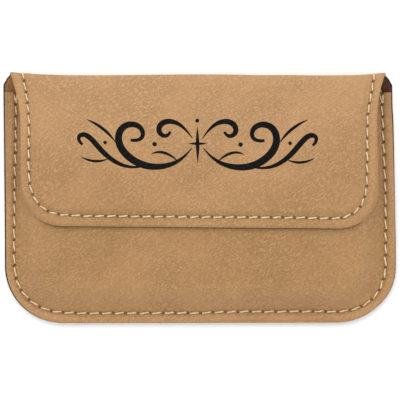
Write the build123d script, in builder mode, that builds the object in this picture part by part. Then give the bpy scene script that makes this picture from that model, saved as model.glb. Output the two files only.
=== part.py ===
"""Business card case: a flat pocket of leatherette with a fold-over flap, lying on its back.

The case is cut from sheet, lined, stiffened with board and sewn round its edge. The back panel, the
spine and the flap are one strip of leatherette, bent at two creases, and the front panel is sewn on
to the back to make the pocket. X runs across the case, Y from the closed bottom edge up to the
spine, and Z up through its thickness. The origin is the middle of the footprint that it lies on.
"""

import os
from math import asin, degrees, sqrt

from build123d import *

# Plan of the closed case, in mm.
case_width = 107.95  # 4 1/4 in
case_height = 69.85  # 2 3/4 in
body_corner_radius = 16.0
mouth_drop = 5.6  # from the spine down to the mouth of the pocket
crease_width = 103.2  # the strip's width at both creases
shoulder_drop = 3.5  # height of the slanted cuts below the back crease
thumb_radius = 14.0
thumb_depth = 8.0

# Plan of the flap.
flap_width = 98.2
flap_length = 43.1  # from the spine to the flap's free edge
flap_corner_radius = 10.6
flare_length = 15.0  # where the flap's sides spread towards the crease

# Sheet stock and the spaces between the sheets.
leather = 0.9
lining = 0.3
board = 0.8
pocket_depth = 4.4
flap_clearance = 0.3
crease_radius = 1.5  # outside of the bend

# The seam, which runs along every edge of the strip.
seam_inset = 2.6
groove_width = 0.9
groove_depth = 0.35
thread_width = 0.55
thread_proud = 0.15  # how far a stitch stands out of the leather
stitch_share = 0.84  # of the pitch, and the rest is the needle hole
body_pitch = 3.45
flap_pitch = 3.22

# The closure: two discs that meet through the leather.
magnet_radius = 5.0
magnet_gap = 0.2  # between a disc and the hole in its board
magnet_rise = 11.5  # above the flap's free edge

# Formed steps, which all slope at 45 degrees. An inset is measured in from the panel's edge.
step_angle = 45.0
front_wall_inset = 4.0  # foot of the pocket's wall, on its inner face
back_step_inset = 5.2  # foot of the step over the back board, under the lining
flap_step_inset = 4.0  # foot of the step over the flap board, under the leather
board_end = 4.0  # from the spine down to the back and flap boards
board_gap = 0.3  # between a board's edge and the sheet beside it
foot_shift = sqrt(2) - 1  # how far a foot moves out for each mm of sheet over it

# Heights of the layers above the face that the case lies on.
back_lining_z = leather
front_lining_z = back_lining_z + lining
front_leather_z = front_lining_z + lining
flange_top = front_leather_z + leather
pocket_floor = leather + board + lining
pocket_roof = pocket_floor + pocket_depth
front_board_z = pocket_roof + lining
front_top = front_board_z + board + leather
flap_lining_z = front_top + flap_clearance
flap_leather_z = flap_lining_z + lining
flap_border_top = flap_leather_z + leather
case_thickness = flap_border_top + board

# Places worked out from the plan.
top = case_height / 2
bottom = -case_height / 2
half_width = case_width / 2
crease_half = crease_width / 2
flap_half = flap_width / 2
mouth = top - mouth_drop
flap_edge = top - flap_length
sheets = leather + lining
flare = crease_half - flap_half
flare_radius = (flare_length**2 + flare**2) / (2 * flare)
magnet_y = flap_edge + magnet_rise
spine_middle = flap_border_top / 2
spine_seam = crease_half - seam_inset
body_stitch = stitch_share * body_pitch
flap_stitch = stitch_share * flap_pitch
beyond = 12.0  # how far an outline runs on past the end that is cut off

# The strip is divided at each crease by a mitre through its outer corner.
back_mitre = Plane(origin=(0, top, 0), z_dir=(0, 1, 1))
flap_mitre = Plane(origin=(0, top, flap_border_top), z_dir=(0, -1, 1))
mouth_plane = Plane(origin=(0, mouth, 0), z_dir=(0, 1, 0))

os.makedirs("parts", exist_ok=True)


def front_outline(inset):
    """The front panel, drawn in on its three sewn sides and running on past the mouth."""
    with BuildSketch() as outline:
        with Locations((0, mouth + beyond)):
            Rectangle(
                case_width - 2 * inset,
                mouth + beyond - bottom - inset,
                align=(Align.CENTER, Align.MAX),
            )
        fillet(outline.vertices().group_by(Axis.Y)[0], radius=body_corner_radius - inset)
    return outline.sketch


def back_outline(inset, end=top + beyond):
    """The back panel, drawn in along its edges and cut straight across at end."""
    with BuildSketch() as outline:
        with BuildLine():
            side = Polyline(
                (0, bottom + inset),
                (half_width - inset, bottom + inset),
                (half_width - inset, top - shoulder_drop),
                (crease_half - inset, top),
                (crease_half - inset, top + beyond),
                (0, top + beyond),
            )
            mirror(side, about=Plane.YZ)
        make_face()
        fillet(outline.vertices().group_by(Axis.Y)[0], radius=body_corner_radius - inset)
        with Locations((0, end)):
            Rectangle(
                case_width, 2 * case_height, align=(Align.CENTER, Align.MAX), mode=Mode.INTERSECT
            )
    return outline.sketch


def flap_side(inset, end=top):
    """Half of the flap's edge, drawn in, from the middle of the free edge up to end."""
    free_edge = Line((0, flap_edge + inset), (flap_half - flap_corner_radius, flap_edge + inset))
    corner = JernArc(free_edge @ 1, free_edge % 1, flap_corner_radius - inset, 90)
    straight = Line(corner @ 1, (flap_half - inset, top - flare_length))
    flare_turn = degrees(asin((end - top + flare_length) / (flare_radius + inset)))
    return JernArc(straight @ 1, straight % 1, flare_radius + inset, -flare_turn)


def flap_outline(inset, end=top + beyond):
    """The flap, drawn in along its edges and cut straight across at end."""
    with BuildSketch() as outline:
        with BuildLine() as edge:
            flared = flap_side(inset)
            Polyline(flared @ 1, ((flared @ 1).X, top + beyond), (0, top + beyond))
            mirror(edge.line, about=Plane.YZ)
        make_face()
        with Locations((0, end)):
            Rectangle(
                case_width, 2 * case_height, align=(Align.CENTER, Align.MAX), mode=Mode.INTERSECT
            )
    return outline.sketch


def strip_section(outer, inner):
    """The strip's section through back, spine and flap, between two depths from its outer face."""
    with BuildSketch() as section:
        for depth, mode in ((outer, Mode.ADD), (inner, Mode.SUBTRACT)):
            with BuildSketch(mode=Mode.PRIVATE) as loop:
                with Locations((top - depth, spine_middle)):
                    Rectangle(
                        case_height,
                        flap_border_top - 2 * depth,
                        align=(Align.MAX, Align.CENTER),
                    )
                fillet(loop.vertices().group_by(Axis.X)[-1], radius=crease_radius - depth)
            add(loop.sketch, mode=mode)
    return section.sketch


def seam_ring(outline):
    """The groove's plan all round an outline, centred on the seam."""
    with BuildSketch() as ring:
        add(outline(seam_inset - groove_width / 2))
        add(outline(seam_inset + groove_width / 2), mode=Mode.SUBTRACT)
    return ring.sketch


def stitch_planes(seam, pitch, height):
    """A plane for each stitch of a seam, lying along it at a height."""
    count = round(seam.length / pitch)
    places = [(index + 0.5) / count for index in range(count)]
    return [
        Plane(origin=(seam @ place) + Vector(0, 0, height), x_dir=seam % place, z_dir=(0, 0, 1))
        for place in places
    ]


def body_seam():
    """The seam round the pocket, from mouth to mouth."""
    with BuildLine() as seam:
        FilletPolyline(
            (seam_inset - half_width, mouth),
            (seam_inset - half_width, bottom + seam_inset),
            (half_width - seam_inset, bottom + seam_inset),
            (half_width - seam_inset, mouth),
            radius=body_corner_radius - seam_inset,
        )
    return seam.wires()[0]


def flap_seam():
    """The seam round the flap, between the starts of the bend."""
    with BuildLine() as seam:
        flap_side(seam_inset, top - crease_radius)
        mirror(seam.line, about=Plane.YZ)
    return seam.wires()[0]


def spine_stitch_planes(face, facing):
    """A plane for each stitch of the two ends of the seam that cross the spine, on one face."""
    run = flap_border_top - 2 * crease_radius
    count = round(run / flap_pitch)
    heights = [crease_radius + run * (index + 0.5) / count for index in range(count)]
    return [
        Plane(origin=(side * spine_seam, face, height), x_dir=(0, 0, 1), z_dir=(0, facing, 0))
        for side in (-1, 1)
        for height in heights
    ]


# Back panel: leatherette, board and lining, from the outside in.
with BuildPart() as back_leather:
    with BuildSketch(Plane.YZ):
        add(strip_section(0, leather))
    extrude(amount=half_width, both=True)
    with BuildSketch(Plane.XY):
        add(back_outline(0))
    extrude(amount=spine_middle, mode=Mode.INTERSECT)
    split(bisect_by=back_mitre, keep=Keep.BOTTOM)
    with BuildSketch(Plane.XY):
        add(seam_ring(front_outline))
        with Locations((0, mouth)):
            Rectangle(
                case_width, 2 * case_height, align=(Align.CENTER, Align.MAX), mode=Mode.INTERSECT
            )
    extrude(amount=groove_depth, mode=Mode.SUBTRACT)
back_leather.part.label = "back_leather"
export_step(back_leather.part, "parts/back_leather.step")

with BuildPart() as back_board:
    with BuildSketch(Plane.XY.offset(back_lining_z)):
        add(back_outline(back_step_inset + board + board_gap, top - board_end))
    extrude(amount=board)
back_board.part.label = "back_board"
export_step(back_board.part, "parts/back_board.step")

with BuildPart() as back_lining:
    with BuildSketch(Plane.YZ):
        add(strip_section(leather, sheets))
    extrude(amount=half_width, both=True)
    with BuildSketch(Plane.XY):
        add(back_outline(0))
    extrude(amount=spine_middle, mode=Mode.INTERSECT)
    split(bisect_by=back_mitre, keep=Keep.BOTTOM)
    # The lining steps up over the board.
    step_end = top - board_end + board + board_gap
    with BuildSketch(Plane.XY.offset(front_lining_z)):
        add(back_outline(back_step_inset - foot_shift * lining, step_end + foot_shift * lining))
    extrude(amount=board, taper=step_angle)
    with BuildSketch(Plane.XY.offset(back_lining_z)):
        add(back_outline(back_step_inset, step_end))
    extrude(amount=board, taper=step_angle, mode=Mode.SUBTRACT)
back_lining.part.label = "back_lining"
export_step(back_lining.part, "parts/back_lining.step")

# Front panel: its walls rise from the flange that is sewn to the back.
with BuildPart() as front_lining:
    with BuildSketch(Plane.XY.offset(front_lining_z)):
        add(front_outline(0))
    extrude(amount=lining)
    with BuildSketch(Plane.XY.offset(front_leather_z)):
        add(front_outline(front_wall_inset - foot_shift * lining))
    extrude(amount=front_board_z - front_leather_z, taper=step_angle)
    with BuildSketch(Plane.XY.offset(front_lining_z)):
        add(front_outline(front_wall_inset))
    extrude(amount=pocket_roof - front_lining_z, taper=step_angle, mode=Mode.SUBTRACT)
    split(bisect_by=mouth_plane, keep=Keep.BOTTOM)
    with BuildSketch(Plane.XY):
        with Locations((0, mouth + thumb_radius - thumb_depth)):
            Circle(thumb_radius)
    extrude(amount=case_thickness, mode=Mode.SUBTRACT)
front_lining.part.label = "front_lining"
export_step(front_lining.part, "parts/front_lining.step")

with BuildPart() as front_board:
    with BuildSketch(Plane.XY.offset(front_board_z)):
        add(front_outline(front_wall_inset + front_top - flange_top + board_gap))
        with Locations((0, mouth + thumb_radius - thumb_depth)):
            Circle(thumb_radius + board_gap, mode=Mode.SUBTRACT)
        with Locations((0, magnet_y)):
            Circle(magnet_radius + magnet_gap, mode=Mode.SUBTRACT)
    extrude(amount=board)
    split(bisect_by=mouth_plane, keep=Keep.BOTTOM)
front_board.part.label = "front_board"
export_step(front_board.part, "parts/front_board.step")

with BuildPart() as front_magnet:
    with BuildSketch(Plane.XY.offset(front_board_z)):
        with Locations((0, magnet_y)):
            Circle(magnet_radius)
    extrude(amount=board)
front_magnet.part.label = "front_magnet"
export_step(front_magnet.part, "parts/front_magnet.step")

with BuildPart() as front_leather:
    with BuildSketch(Plane.XY.offset(front_leather_z)):
        add(front_outline(0))
    extrude(amount=leather)
    with BuildSketch(Plane.XY.offset(flange_top)):
        add(front_outline(front_wall_inset - foot_shift * sheets))
    extrude(amount=front_top - flange_top, taper=step_angle)
    with BuildSketch(Plane.XY.offset(front_leather_z)):
        add(front_outline(front_wall_inset - foot_shift * lining))
    extrude(amount=front_top - flange_top, taper=step_angle, mode=Mode.SUBTRACT)
    split(bisect_by=mouth_plane, keep=Keep.BOTTOM)
    with BuildSketch(Plane.XY):
        with Locations((0, mouth + thumb_radius - thumb_depth)):
            Circle(thumb_radius)
    extrude(amount=case_thickness, mode=Mode.SUBTRACT)
    with BuildSketch(Plane.XY.offset(flange_top)):
        add(seam_ring(front_outline))
    extrude(amount=-groove_depth, mode=Mode.SUBTRACT)
front_leather.part.label = "front_leather"
export_step(front_leather.part, "parts/front_leather.step")

# The body seam's stitches lie in grooves. Those on the back, like the spine's, are sunk flush.
with BuildPart() as body_front_thread:
    for plane in stitch_planes(body_seam(), body_pitch, flange_top - groove_depth):
        with BuildSketch(plane):
            SlotOverall(body_stitch, thread_width)
    extrude(amount=groove_depth + thread_proud)
body_front_thread.part.label = "body_front_thread"
export_step(body_front_thread.part, "parts/body_front_thread.step")

with BuildPart() as body_back_thread:
    for plane in stitch_planes(body_seam(), body_pitch, 0):
        with BuildSketch(plane):
            SlotOverall(body_stitch, thread_width)
    extrude(amount=groove_depth)
body_back_thread.part.label = "body_back_thread"
export_step(body_back_thread.part, "parts/body_back_thread.step")

# Spine: the narrow middle of the strip, between the two mitres.
with BuildPart() as spine_leather:
    with BuildSketch(Plane.YZ):
        add(strip_section(0, leather))
    extrude(amount=crease_half, both=True)
    split(bisect_by=back_mitre, keep=Keep.TOP)
    split(bisect_by=flap_mitre, keep=Keep.BOTTOM)
    with Locations((-spine_seam, top, spine_middle), (spine_seam, top, spine_middle)):
        Box(groove_width, 2 * groove_depth, flap_border_top, mode=Mode.SUBTRACT)
spine_leather.part.label = "spine_leather"
export_step(spine_leather.part, "parts/spine_leather.step")

with BuildPart() as spine_lining:
    with BuildSketch(Plane.YZ):
        add(strip_section(leather, sheets))
    extrude(amount=crease_half, both=True)
    split(bisect_by=back_mitre, keep=Keep.TOP)
    split(bisect_by=flap_mitre, keep=Keep.BOTTOM)
spine_lining.part.label = "spine_lining"
export_step(spine_lining.part, "parts/spine_lining.step")

with BuildPart() as spine_outer_thread:
    for plane in spine_stitch_planes(top - groove_depth, 1):
        with BuildSketch(plane):
            SlotOverall(flap_stitch, thread_width)
    extrude(amount=groove_depth)
spine_outer_thread.part.label = "spine_outer_thread"
export_step(spine_outer_thread.part, "parts/spine_outer_thread.step")

with BuildPart() as spine_inner_thread:
    for plane in spine_stitch_planes(top - sheets, -1):
        with BuildSketch(plane):
            SlotOverall(flap_stitch, thread_width)
    extrude(amount=thread_proud)
spine_inner_thread.part.label = "spine_inner_thread"
export_step(spine_inner_thread.part, "parts/spine_inner_thread.step")

# Flap: lining, board and leatherette, which steps down to the seam round the board.
with BuildPart() as flap_lining:
    with BuildSketch(Plane.YZ):
        add(strip_section(leather, sheets))
    extrude(amount=half_width, both=True)
    with BuildSketch(Plane.XY.offset(spine_middle)):
        add(flap_outline(0))
    extrude(amount=case_thickness, mode=Mode.INTERSECT)
    split(bisect_by=flap_mitre, keep=Keep.TOP)
flap_lining.part.label = "flap_lining"
export_step(flap_lining.part, "parts/flap_lining.step")

with BuildPart() as flap_board:
    with BuildSketch(Plane.XY.offset(flap_leather_z)):
        add(flap_outline(flap_step_inset + board + board_gap, top - board_end))
        with Locations((0, magnet_y)):
            Circle(magnet_radius + magnet_gap, mode=Mode.SUBTRACT)
    extrude(amount=board)
flap_board.part.label = "flap_board"
export_step(flap_board.part, "parts/flap_board.step")

with BuildPart() as flap_magnet:
    with BuildSketch(Plane.XY.offset(flap_leather_z)):
        with Locations((0, magnet_y)):
            Circle(magnet_radius)
    extrude(amount=board)
flap_magnet.part.label = "flap_magnet"
export_step(flap_magnet.part, "parts/flap_magnet.step")

with BuildPart() as flap_leather:
    with BuildSketch(Plane.YZ):
        add(strip_section(0, leather))
    extrude(amount=half_width, both=True)
    with BuildSketch(Plane.XY.offset(spine_middle)):
        add(flap_outline(0))
    extrude(amount=case_thickness, mode=Mode.INTERSECT)
    split(bisect_by=flap_mitre, keep=Keep.TOP)
    step_end = top - board_end + board + board_gap
    with BuildSketch(Plane.XY.offset(flap_border_top)):
        add(flap_outline(flap_step_inset - foot_shift * leather, step_end + foot_shift * leather))
    extrude(amount=board, taper=step_angle)
    with BuildSketch(Plane.XY.offset(flap_leather_z)):
        add(flap_outline(flap_step_inset, step_end))
    extrude(amount=board, taper=step_angle, mode=Mode.SUBTRACT)
    with BuildSketch(Plane.XY.offset(flap_border_top)):
        add(seam_ring(flap_outline))
    extrude(amount=-groove_depth, mode=Mode.SUBTRACT)
flap_leather.part.label = "flap_leather"
export_step(flap_leather.part, "parts/flap_leather.step")

with BuildPart() as flap_top_thread:
    for plane in stitch_planes(flap_seam(), flap_pitch, flap_border_top - groove_depth):
        with BuildSketch(plane):
            SlotOverall(flap_stitch, thread_width)
    extrude(amount=groove_depth + thread_proud)
flap_top_thread.part.label = "flap_top_thread"
export_step(flap_top_thread.part, "parts/flap_top_thread.step")

with BuildPart() as flap_under_thread:
    for plane in stitch_planes(flap_seam(), flap_pitch, flap_lining_z - thread_proud):
        with BuildSketch(plane):
            SlotOverall(flap_stitch, thread_width)
    extrude(amount=thread_proud)
flap_under_thread.part.label = "flap_under_thread"
export_step(flap_under_thread.part, "parts/flap_under_thread.step")
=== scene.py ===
"""Looks of a leatherette business card case, dressed on its fixed frame.

The case is one strip of leatherette, folded at two creases into back, spine and flap, with a front
panel sewn to the back. Every sheet is built on a grid whose rows run along its cut edge, so that the
seam, the padded step and the cut edge all follow the outline. Sizes are in millimetres until a mesh
is made, and meshes are in metres.
"""

import logging
from dataclasses import dataclass
from enum import Enum
from math import cos, pi, radians, sin
from typing import Callable, Iterable, Sequence

import bpy
import numpy as np
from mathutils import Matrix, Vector


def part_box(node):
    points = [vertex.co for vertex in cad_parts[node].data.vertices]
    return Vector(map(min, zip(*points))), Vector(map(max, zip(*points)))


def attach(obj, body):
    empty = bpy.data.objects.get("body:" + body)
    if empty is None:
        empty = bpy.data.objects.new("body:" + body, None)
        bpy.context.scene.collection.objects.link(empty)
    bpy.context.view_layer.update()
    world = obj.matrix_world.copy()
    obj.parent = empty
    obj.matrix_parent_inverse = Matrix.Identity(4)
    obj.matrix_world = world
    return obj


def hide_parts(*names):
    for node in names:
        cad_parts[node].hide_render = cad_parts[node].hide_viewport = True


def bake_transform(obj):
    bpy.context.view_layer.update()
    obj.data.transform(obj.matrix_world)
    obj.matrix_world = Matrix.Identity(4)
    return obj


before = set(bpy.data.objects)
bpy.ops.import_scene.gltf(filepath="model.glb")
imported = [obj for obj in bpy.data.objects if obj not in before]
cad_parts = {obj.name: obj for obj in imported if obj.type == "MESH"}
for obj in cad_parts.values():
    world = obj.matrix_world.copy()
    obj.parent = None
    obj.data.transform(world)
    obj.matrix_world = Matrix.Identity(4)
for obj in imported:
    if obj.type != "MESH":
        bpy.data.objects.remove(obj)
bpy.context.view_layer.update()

MM = 0.001
LOG = logging.getLogger("card_case")

Colour = tuple[float, float, float, float]
Socket = bpy.types.NodeSocket


def smooth(value: np.ndarray | float, start: float, end: float) -> np.ndarray:
    """Rise smoothly from 0 at start to 1 at end.

    Args:
        value: where to read the rise.
        start: where it leaves 0.
        end: where it reaches 1.

    Returns:
        The height of the rise at each value.
    """
    t = np.clip((np.asarray(value, float) - start) / (end - start), 0.0, 1.0)
    return t * t * (3.0 - 2.0 * t)


def bump_at(value: np.ndarray | float, width: float) -> np.ndarray:
    """Give a round bump of height 1 at 0 that dies away over a width."""
    return np.exp(-((np.asarray(value, float) / width) ** 2))


class Face(Enum):
    """The two faces of a sewn panel, each by the way in which it looks."""

    OUTSIDE = 1
    INSIDE = -1


class Hold(Enum):
    """How a sheet is held on the case."""

    FOLDED = "folded"
    STRETCHED = "stretched"


@dataclass(frozen=True)
class CaseSizes:
    """The case's sizes, in millimetres, read from its frame.

    The first group comes from the frame's own boxes. The rest are the makings that no box shows.
    """

    half_width: float
    top: float
    bottom: float
    mouth: float
    flap_edge: float
    crease_half: float
    front_base: float
    front_top: float
    flap_top: float

    leather: float = 0.9
    lining: float = 0.3
    board: float = 0.8
    crease_radius: float = 1.5
    body_corner: float = 16.0
    flap_corner: float = 11.2
    flap_half: float = 49.1
    flare_length: float = 15.0
    shoulder_drop: float = 3.6
    shoulder_cut: float = 1.95
    thumb_radius: float = 14.0
    thumb_depth: float = 8.0
    seam_inset: float = 2.6
    body_pitch: float = 3.45
    flap_pitch: float = 3.24

    @classmethod
    def from_frame(cls) -> "CaseSizes":
        """Read the sizes that the frame's boxes hold.

        Returns:
            The case's sizes.
        """
        back_low, back_high = (Vector(c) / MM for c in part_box("back_leather"))
        front_low, front_high = (Vector(c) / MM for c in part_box("front_leather"))
        flap_low, flap_high = (Vector(c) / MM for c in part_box("flap_leather"))
        spine_high = Vector(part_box("spine_leather")[1]) / MM
        return cls(
            half_width=back_high.x,
            top=spine_high.y,
            bottom=back_low.y,
            mouth=front_high.y,
            flap_edge=flap_low.y,
            crease_half=spine_high.x,
            front_base=front_low.z,
            front_top=front_high.z,
            flap_top=flap_high.z,
        )

    @property
    def flange_top(self) -> float:
        """Height of the front panel's sewn flange."""
        return self.front_base + self.leather

    @property
    def border_top(self) -> float:
        """Height of the flap's sewn border, which is below its padded middle."""
        return self.flap_top - self.board

    @property
    def sheets(self) -> float:
        """Thickness of leatherette and lining together."""
        return self.leather + self.lining

    @property
    def spine_middle(self) -> float:
        """Height half way up the spine."""
        return self.border_top / 2


@dataclass(frozen=True)
class HandDrift:
    """The small drift of a hand-cut and hand-sewn case away from its pattern.

    Attributes:
        sizes: the case's sizes.
        lean: how far the top leans to the right.
        narrowing: how much each side draws in towards the top.
        tilt: how far the flap's free edge is low on the right and high on the left.
        sag: how far the top edge sags between its corners.
        right_drop: how much lower the top edge's right corner is.
        middle_lift: how far the top edge rises again at its middle.
        sag_reach: how far down from the top edge the sag is felt.
        trim: how much is cut off along the bottom.
        trim_tilt: how much more on the right, and less on the left.
        stretch: how far the right border is stretched outwards.
    """

    sizes: CaseSizes
    lean: float = -0.6
    narrowing: float = 0.20
    tilt: float = 0.46
    sag: float = 1.32
    right_drop: float = 0.18
    middle_lift: float = 0.30
    sag_reach: float = 13.0
    trim: float = 0.32
    trim_tilt: float = 0.10
    stretch: float = 0.19

    def __call__(self, points: np.ndarray) -> np.ndarray:
        """Move points by the drift.

        Args:
            points: places in millimetres, one row each.

        Returns:
            The same points, leaned, tilted, sagged and trimmed.
        """
        moved = points.copy()
        x, y = points[..., 0], points[..., 1]
        across = x / self.sizes.half_width
        up = np.clip((y + 12.0) / 42.0, 0.0, 1.0)
        moved[..., 0] += self.lean * up - self.narrowing * up * across
        middle = smooth(y, -32.0, -10.0) * (1.0 - smooth(y, 0.0, 30.0))
        moved[..., 1] -= self.tilt * across * middle
        hang = smooth(y, self.sizes.top - self.sag_reach, self.sizes.top)
        level = np.clip(1.0 - np.abs(across) ** 7, 0.0, 1.0)
        drop = self.sag * level + self.right_drop * smooth(across, 0.4, 0.9)
        moved[..., 1] -= hang * (drop - self.middle_lift * bump_at(x, 17.0))
        at_bottom = 1.0 - smooth(y, -34.0, -20.0)
        moved[..., 1] += (self.trim + self.trim_tilt * across) * at_bottom
        right_border = smooth(across, 0.90, 0.97) * (1.0 - smooth(y, 19.0, 26.0))
        moved[..., 0] += self.stretch * right_border
        return moved


@dataclass
class Fold:
    """How a flat cut lies in space: flat from its free edge, then round a crease and up the spine."""

    start_y: float
    flat_length: float
    radius: float
    face_height: float
    outward: int
    drift: Callable[[np.ndarray], np.ndarray]
    slide: Callable[[np.ndarray], np.ndarray] = np.zeros_like

    def place(self, x: np.ndarray, v: np.ndarray, height: np.ndarray) -> np.ndarray:
        """Turn places on the flat cut into places in space.

        Args:
            x: across the case.
            v: along the cut, from its free edge.
            height: above the leatherette's outer face.

        Returns:
            Points in millimetres.
        """
        x, v, height = np.broadcast_arrays(
            np.asarray(x, float), np.asarray(v, float), np.asarray(height, float)
        )
        past = v - self.flat_length
        turn = np.clip(past / self.radius, 0.0, pi / 2)
        reach = self.radius + height
        centre_y = self.start_y + self.flat_length
        centre_z = self.face_height - self.outward * self.radius
        rest = np.clip(past - self.radius * pi / 2, 0.0, None)
        y = np.where(past < 0, self.start_y + v, centre_y + reach * np.sin(turn))
        z = np.where(
            past < 0,
            self.face_height + self.outward * height,
            centre_z + self.outward * (reach * np.cos(turn) - rest),
        )
        return self.drift(np.stack([x + self.slide(v), y, z], axis=-1))


@dataclass
class Plan:
    """The outline of a cut with two round corners at its free edge, and the grid that fills it.

    Attributes:
        half_width: half the width at the free edge.
        corner: radius of the two corners.
        length: from the free edge to the far end.
        seam_inset: how far the seam is from the cut edge.
        spread: how much wider the cut is on each side, by distance from its free edge.
        far_end: the far end's distance from the free edge, by place across the cut.
        wander: how far in from its line the seam has strayed, by share of its run.
        spacing: the grid's spacing away from the edge.
        fine: True for close rows at the edge and at the seam.
        end_reach: how far back from the far end its shape is spread.
    """

    half_width: float
    corner: float
    length: float
    seam_inset: float
    spread: Callable[[np.ndarray], np.ndarray]
    far_end: Callable[[np.ndarray], np.ndarray] | None = None
    wander: Callable[[np.ndarray], np.ndarray] = np.zeros_like
    spacing: float = 0.5
    fine: bool = True
    end_reach: float = 16.0

    def levels(self) -> np.ndarray:
        """List the insets of the rows between the cut edge and the end of a corner.

        Returns:
            Insets, close together at the cut edge and at the seam.
        """
        if not self.fine:
            return np.linspace(0.0, self.corner, max(4, round(self.corner / self.spacing)) + 1)
        edge = [0.0, 0.06, 0.16, 0.32, 0.6, 1.0, 1.5]
        seam = list(np.arange(self.seam_inset - 0.8, self.seam_inset + 1.61, 0.2))
        start = seam[-1] + 0.25
        rest = np.linspace(start, self.corner, round((self.corner - start) / 0.42) + 1)
        return np.array(edge + seam + list(rest))

    def half_at(self, v: np.ndarray) -> np.ndarray:
        """Half the cut's width at a distance from its free edge."""
        return self.half_width + self.spread(np.asarray(v, float))

    def grid(self) -> "Grid":
        """Fill the outline with rows and columns that follow its edge.

        Returns:
            The grid's places, insets and distances along the seam.
        """
        levels = self.levels()
        last = len(levels) - 1
        inner = self.half_width - self.corner
        columns = max(2, round(2 * inner / self.spacing))
        rows = max(2, round((self.length - self.corner) / self.spacing))
        middle = np.linspace(-1.0, 1.0, columns + 1)[1:-1]
        above = np.linspace(self.corner, self.length, rows + 1)[1:]
        across = 2 * last + columns + 1
        up = last + rows + 1
        x = np.zeros((up, across))
        v = np.zeros((up, across))

        heights = np.concatenate([levels, above])
        half = self.half_at(heights)
        left = -(half[:, None] - levels[None, :])
        between = (half[:, None] - self.corner) * middle[None, :]
        x[:, : last + 1] = left
        x[:, last + 1 : last + columns] = between
        x[:, last + columns :] = -left[:, ::-1]
        v[:] = heights[:, None]

        for row in range(last):
            for column in range(last):
                level = min(row, column)
                ring = self.corner - levels[level]
                if column <= row:
                    share = (self.corner - levels[row]) / ring / 2
                else:
                    share = 1.0 - (self.corner - levels[column]) / ring / 2
                turn = share * pi / 2
                x[row, column] = -inner - ring * cos(turn)
                v[row, column] = self.corner - ring * sin(turn)
                x[row, across - 1 - column] = -x[row, column]
                v[row, across - 1 - column] = v[row, column]

        inset = self.inset(x, v)
        along = self.along(x, v)
        if self.far_end is not None:
            reach = self.far_end(x)
            stay = self.length - self.end_reach
            share = np.clip((v - stay) / (self.length - stay), 0.0, None)
            v = np.where(v > stay, stay + share * (reach - stay), v)
        return Grid(x, v, inset, along)

    def inset(self, x: np.ndarray, v: np.ndarray) -> np.ndarray:
        """Distance in from the cut edge, round the two corners as well.

        Args:
            x: place across the case.
            v: distance from the free edge.

        Returns:
            The distance, in millimetres.
        """
        side = self.half_at(v) - np.abs(x)
        dx = np.abs(x) - (self.half_width - self.corner)
        dv = self.corner - v
        in_corner = (dx > 0) & (dv > 0)
        return np.where(in_corner, self.corner - np.hypot(dx, dv), np.minimum(side, v))

    def along(self, x: np.ndarray, v: np.ndarray) -> np.ndarray:
        """Distance along the seam, from its left far end to the nearest place on it.

        Args:
            x: place across the case.
            v: distance from the free edge.

        Returns:
            The distance, in millimetres.
        """
        straight = self.length - self.corner
        inner = self.half_width - self.corner
        bend = (self.corner - self.seam_inset) * pi / 2
        dx = np.abs(x) - inner
        dv = self.corner - v
        in_corner = (dx > 0) & (dv > 0)
        turn = np.arctan2(np.clip(dv, 1e-9, None), np.clip(dx, 1e-9, None))
        beside = (self.half_at(v) - np.abs(x)) < v
        half_run = straight + bend + inner
        run = np.where(
            in_corner,
            straight + (self.corner - self.seam_inset) * turn,
            np.where(beside, straight - (v - self.corner), half_run - np.abs(x)),
        )
        return np.where(x <= 0, run, 2 * half_run - run)

    def seam_length(self) -> float:
        """Length of the seam, from far end to far end."""
        bend = (self.corner - self.seam_inset) * pi
        return 2 * (self.length - self.corner) + bend + 2 * (self.half_width - self.corner)

    def seam_point(self, run: float) -> tuple[float, float]:
        """Find the place on the seam at a distance along it.

        Args:
            run: distance from the seam's left far end.

        Returns:
            The place across and the distance from the free edge.
        """
        total = self.seam_length()
        side = -1.0 if run <= total / 2 else 1.0
        inset = self.seam_inset + float(self.wander(np.array(run / total)))
        run = min(run, total - run)
        straight = self.length - self.corner
        bend = self.corner - self.seam_inset
        radius = self.corner - inset
        inner = self.half_width - self.corner
        if run < straight:
            v = self.length - run
            return side * (float(self.half_at(np.array(v))) - inset), v
        turn = (run - straight) / bend
        if turn < pi / 2:
            return side * (inner + radius * cos(turn)), self.corner - radius * sin(turn)
        return side * (inner - (run - straight - bend * pi / 2)), inset

    def off_seam(self, inset: np.ndarray, along: np.ndarray) -> np.ndarray:
        """Distance in from the seam as it was really sewn."""
        return inset - self.seam_inset - self.wander(along / self.seam_length())


@dataclass
class Grid:
    """Places on a cut: across, along, in from the edge and along the seam."""

    x: np.ndarray
    v: np.ndarray
    inset: np.ndarray
    along: np.ndarray


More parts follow.
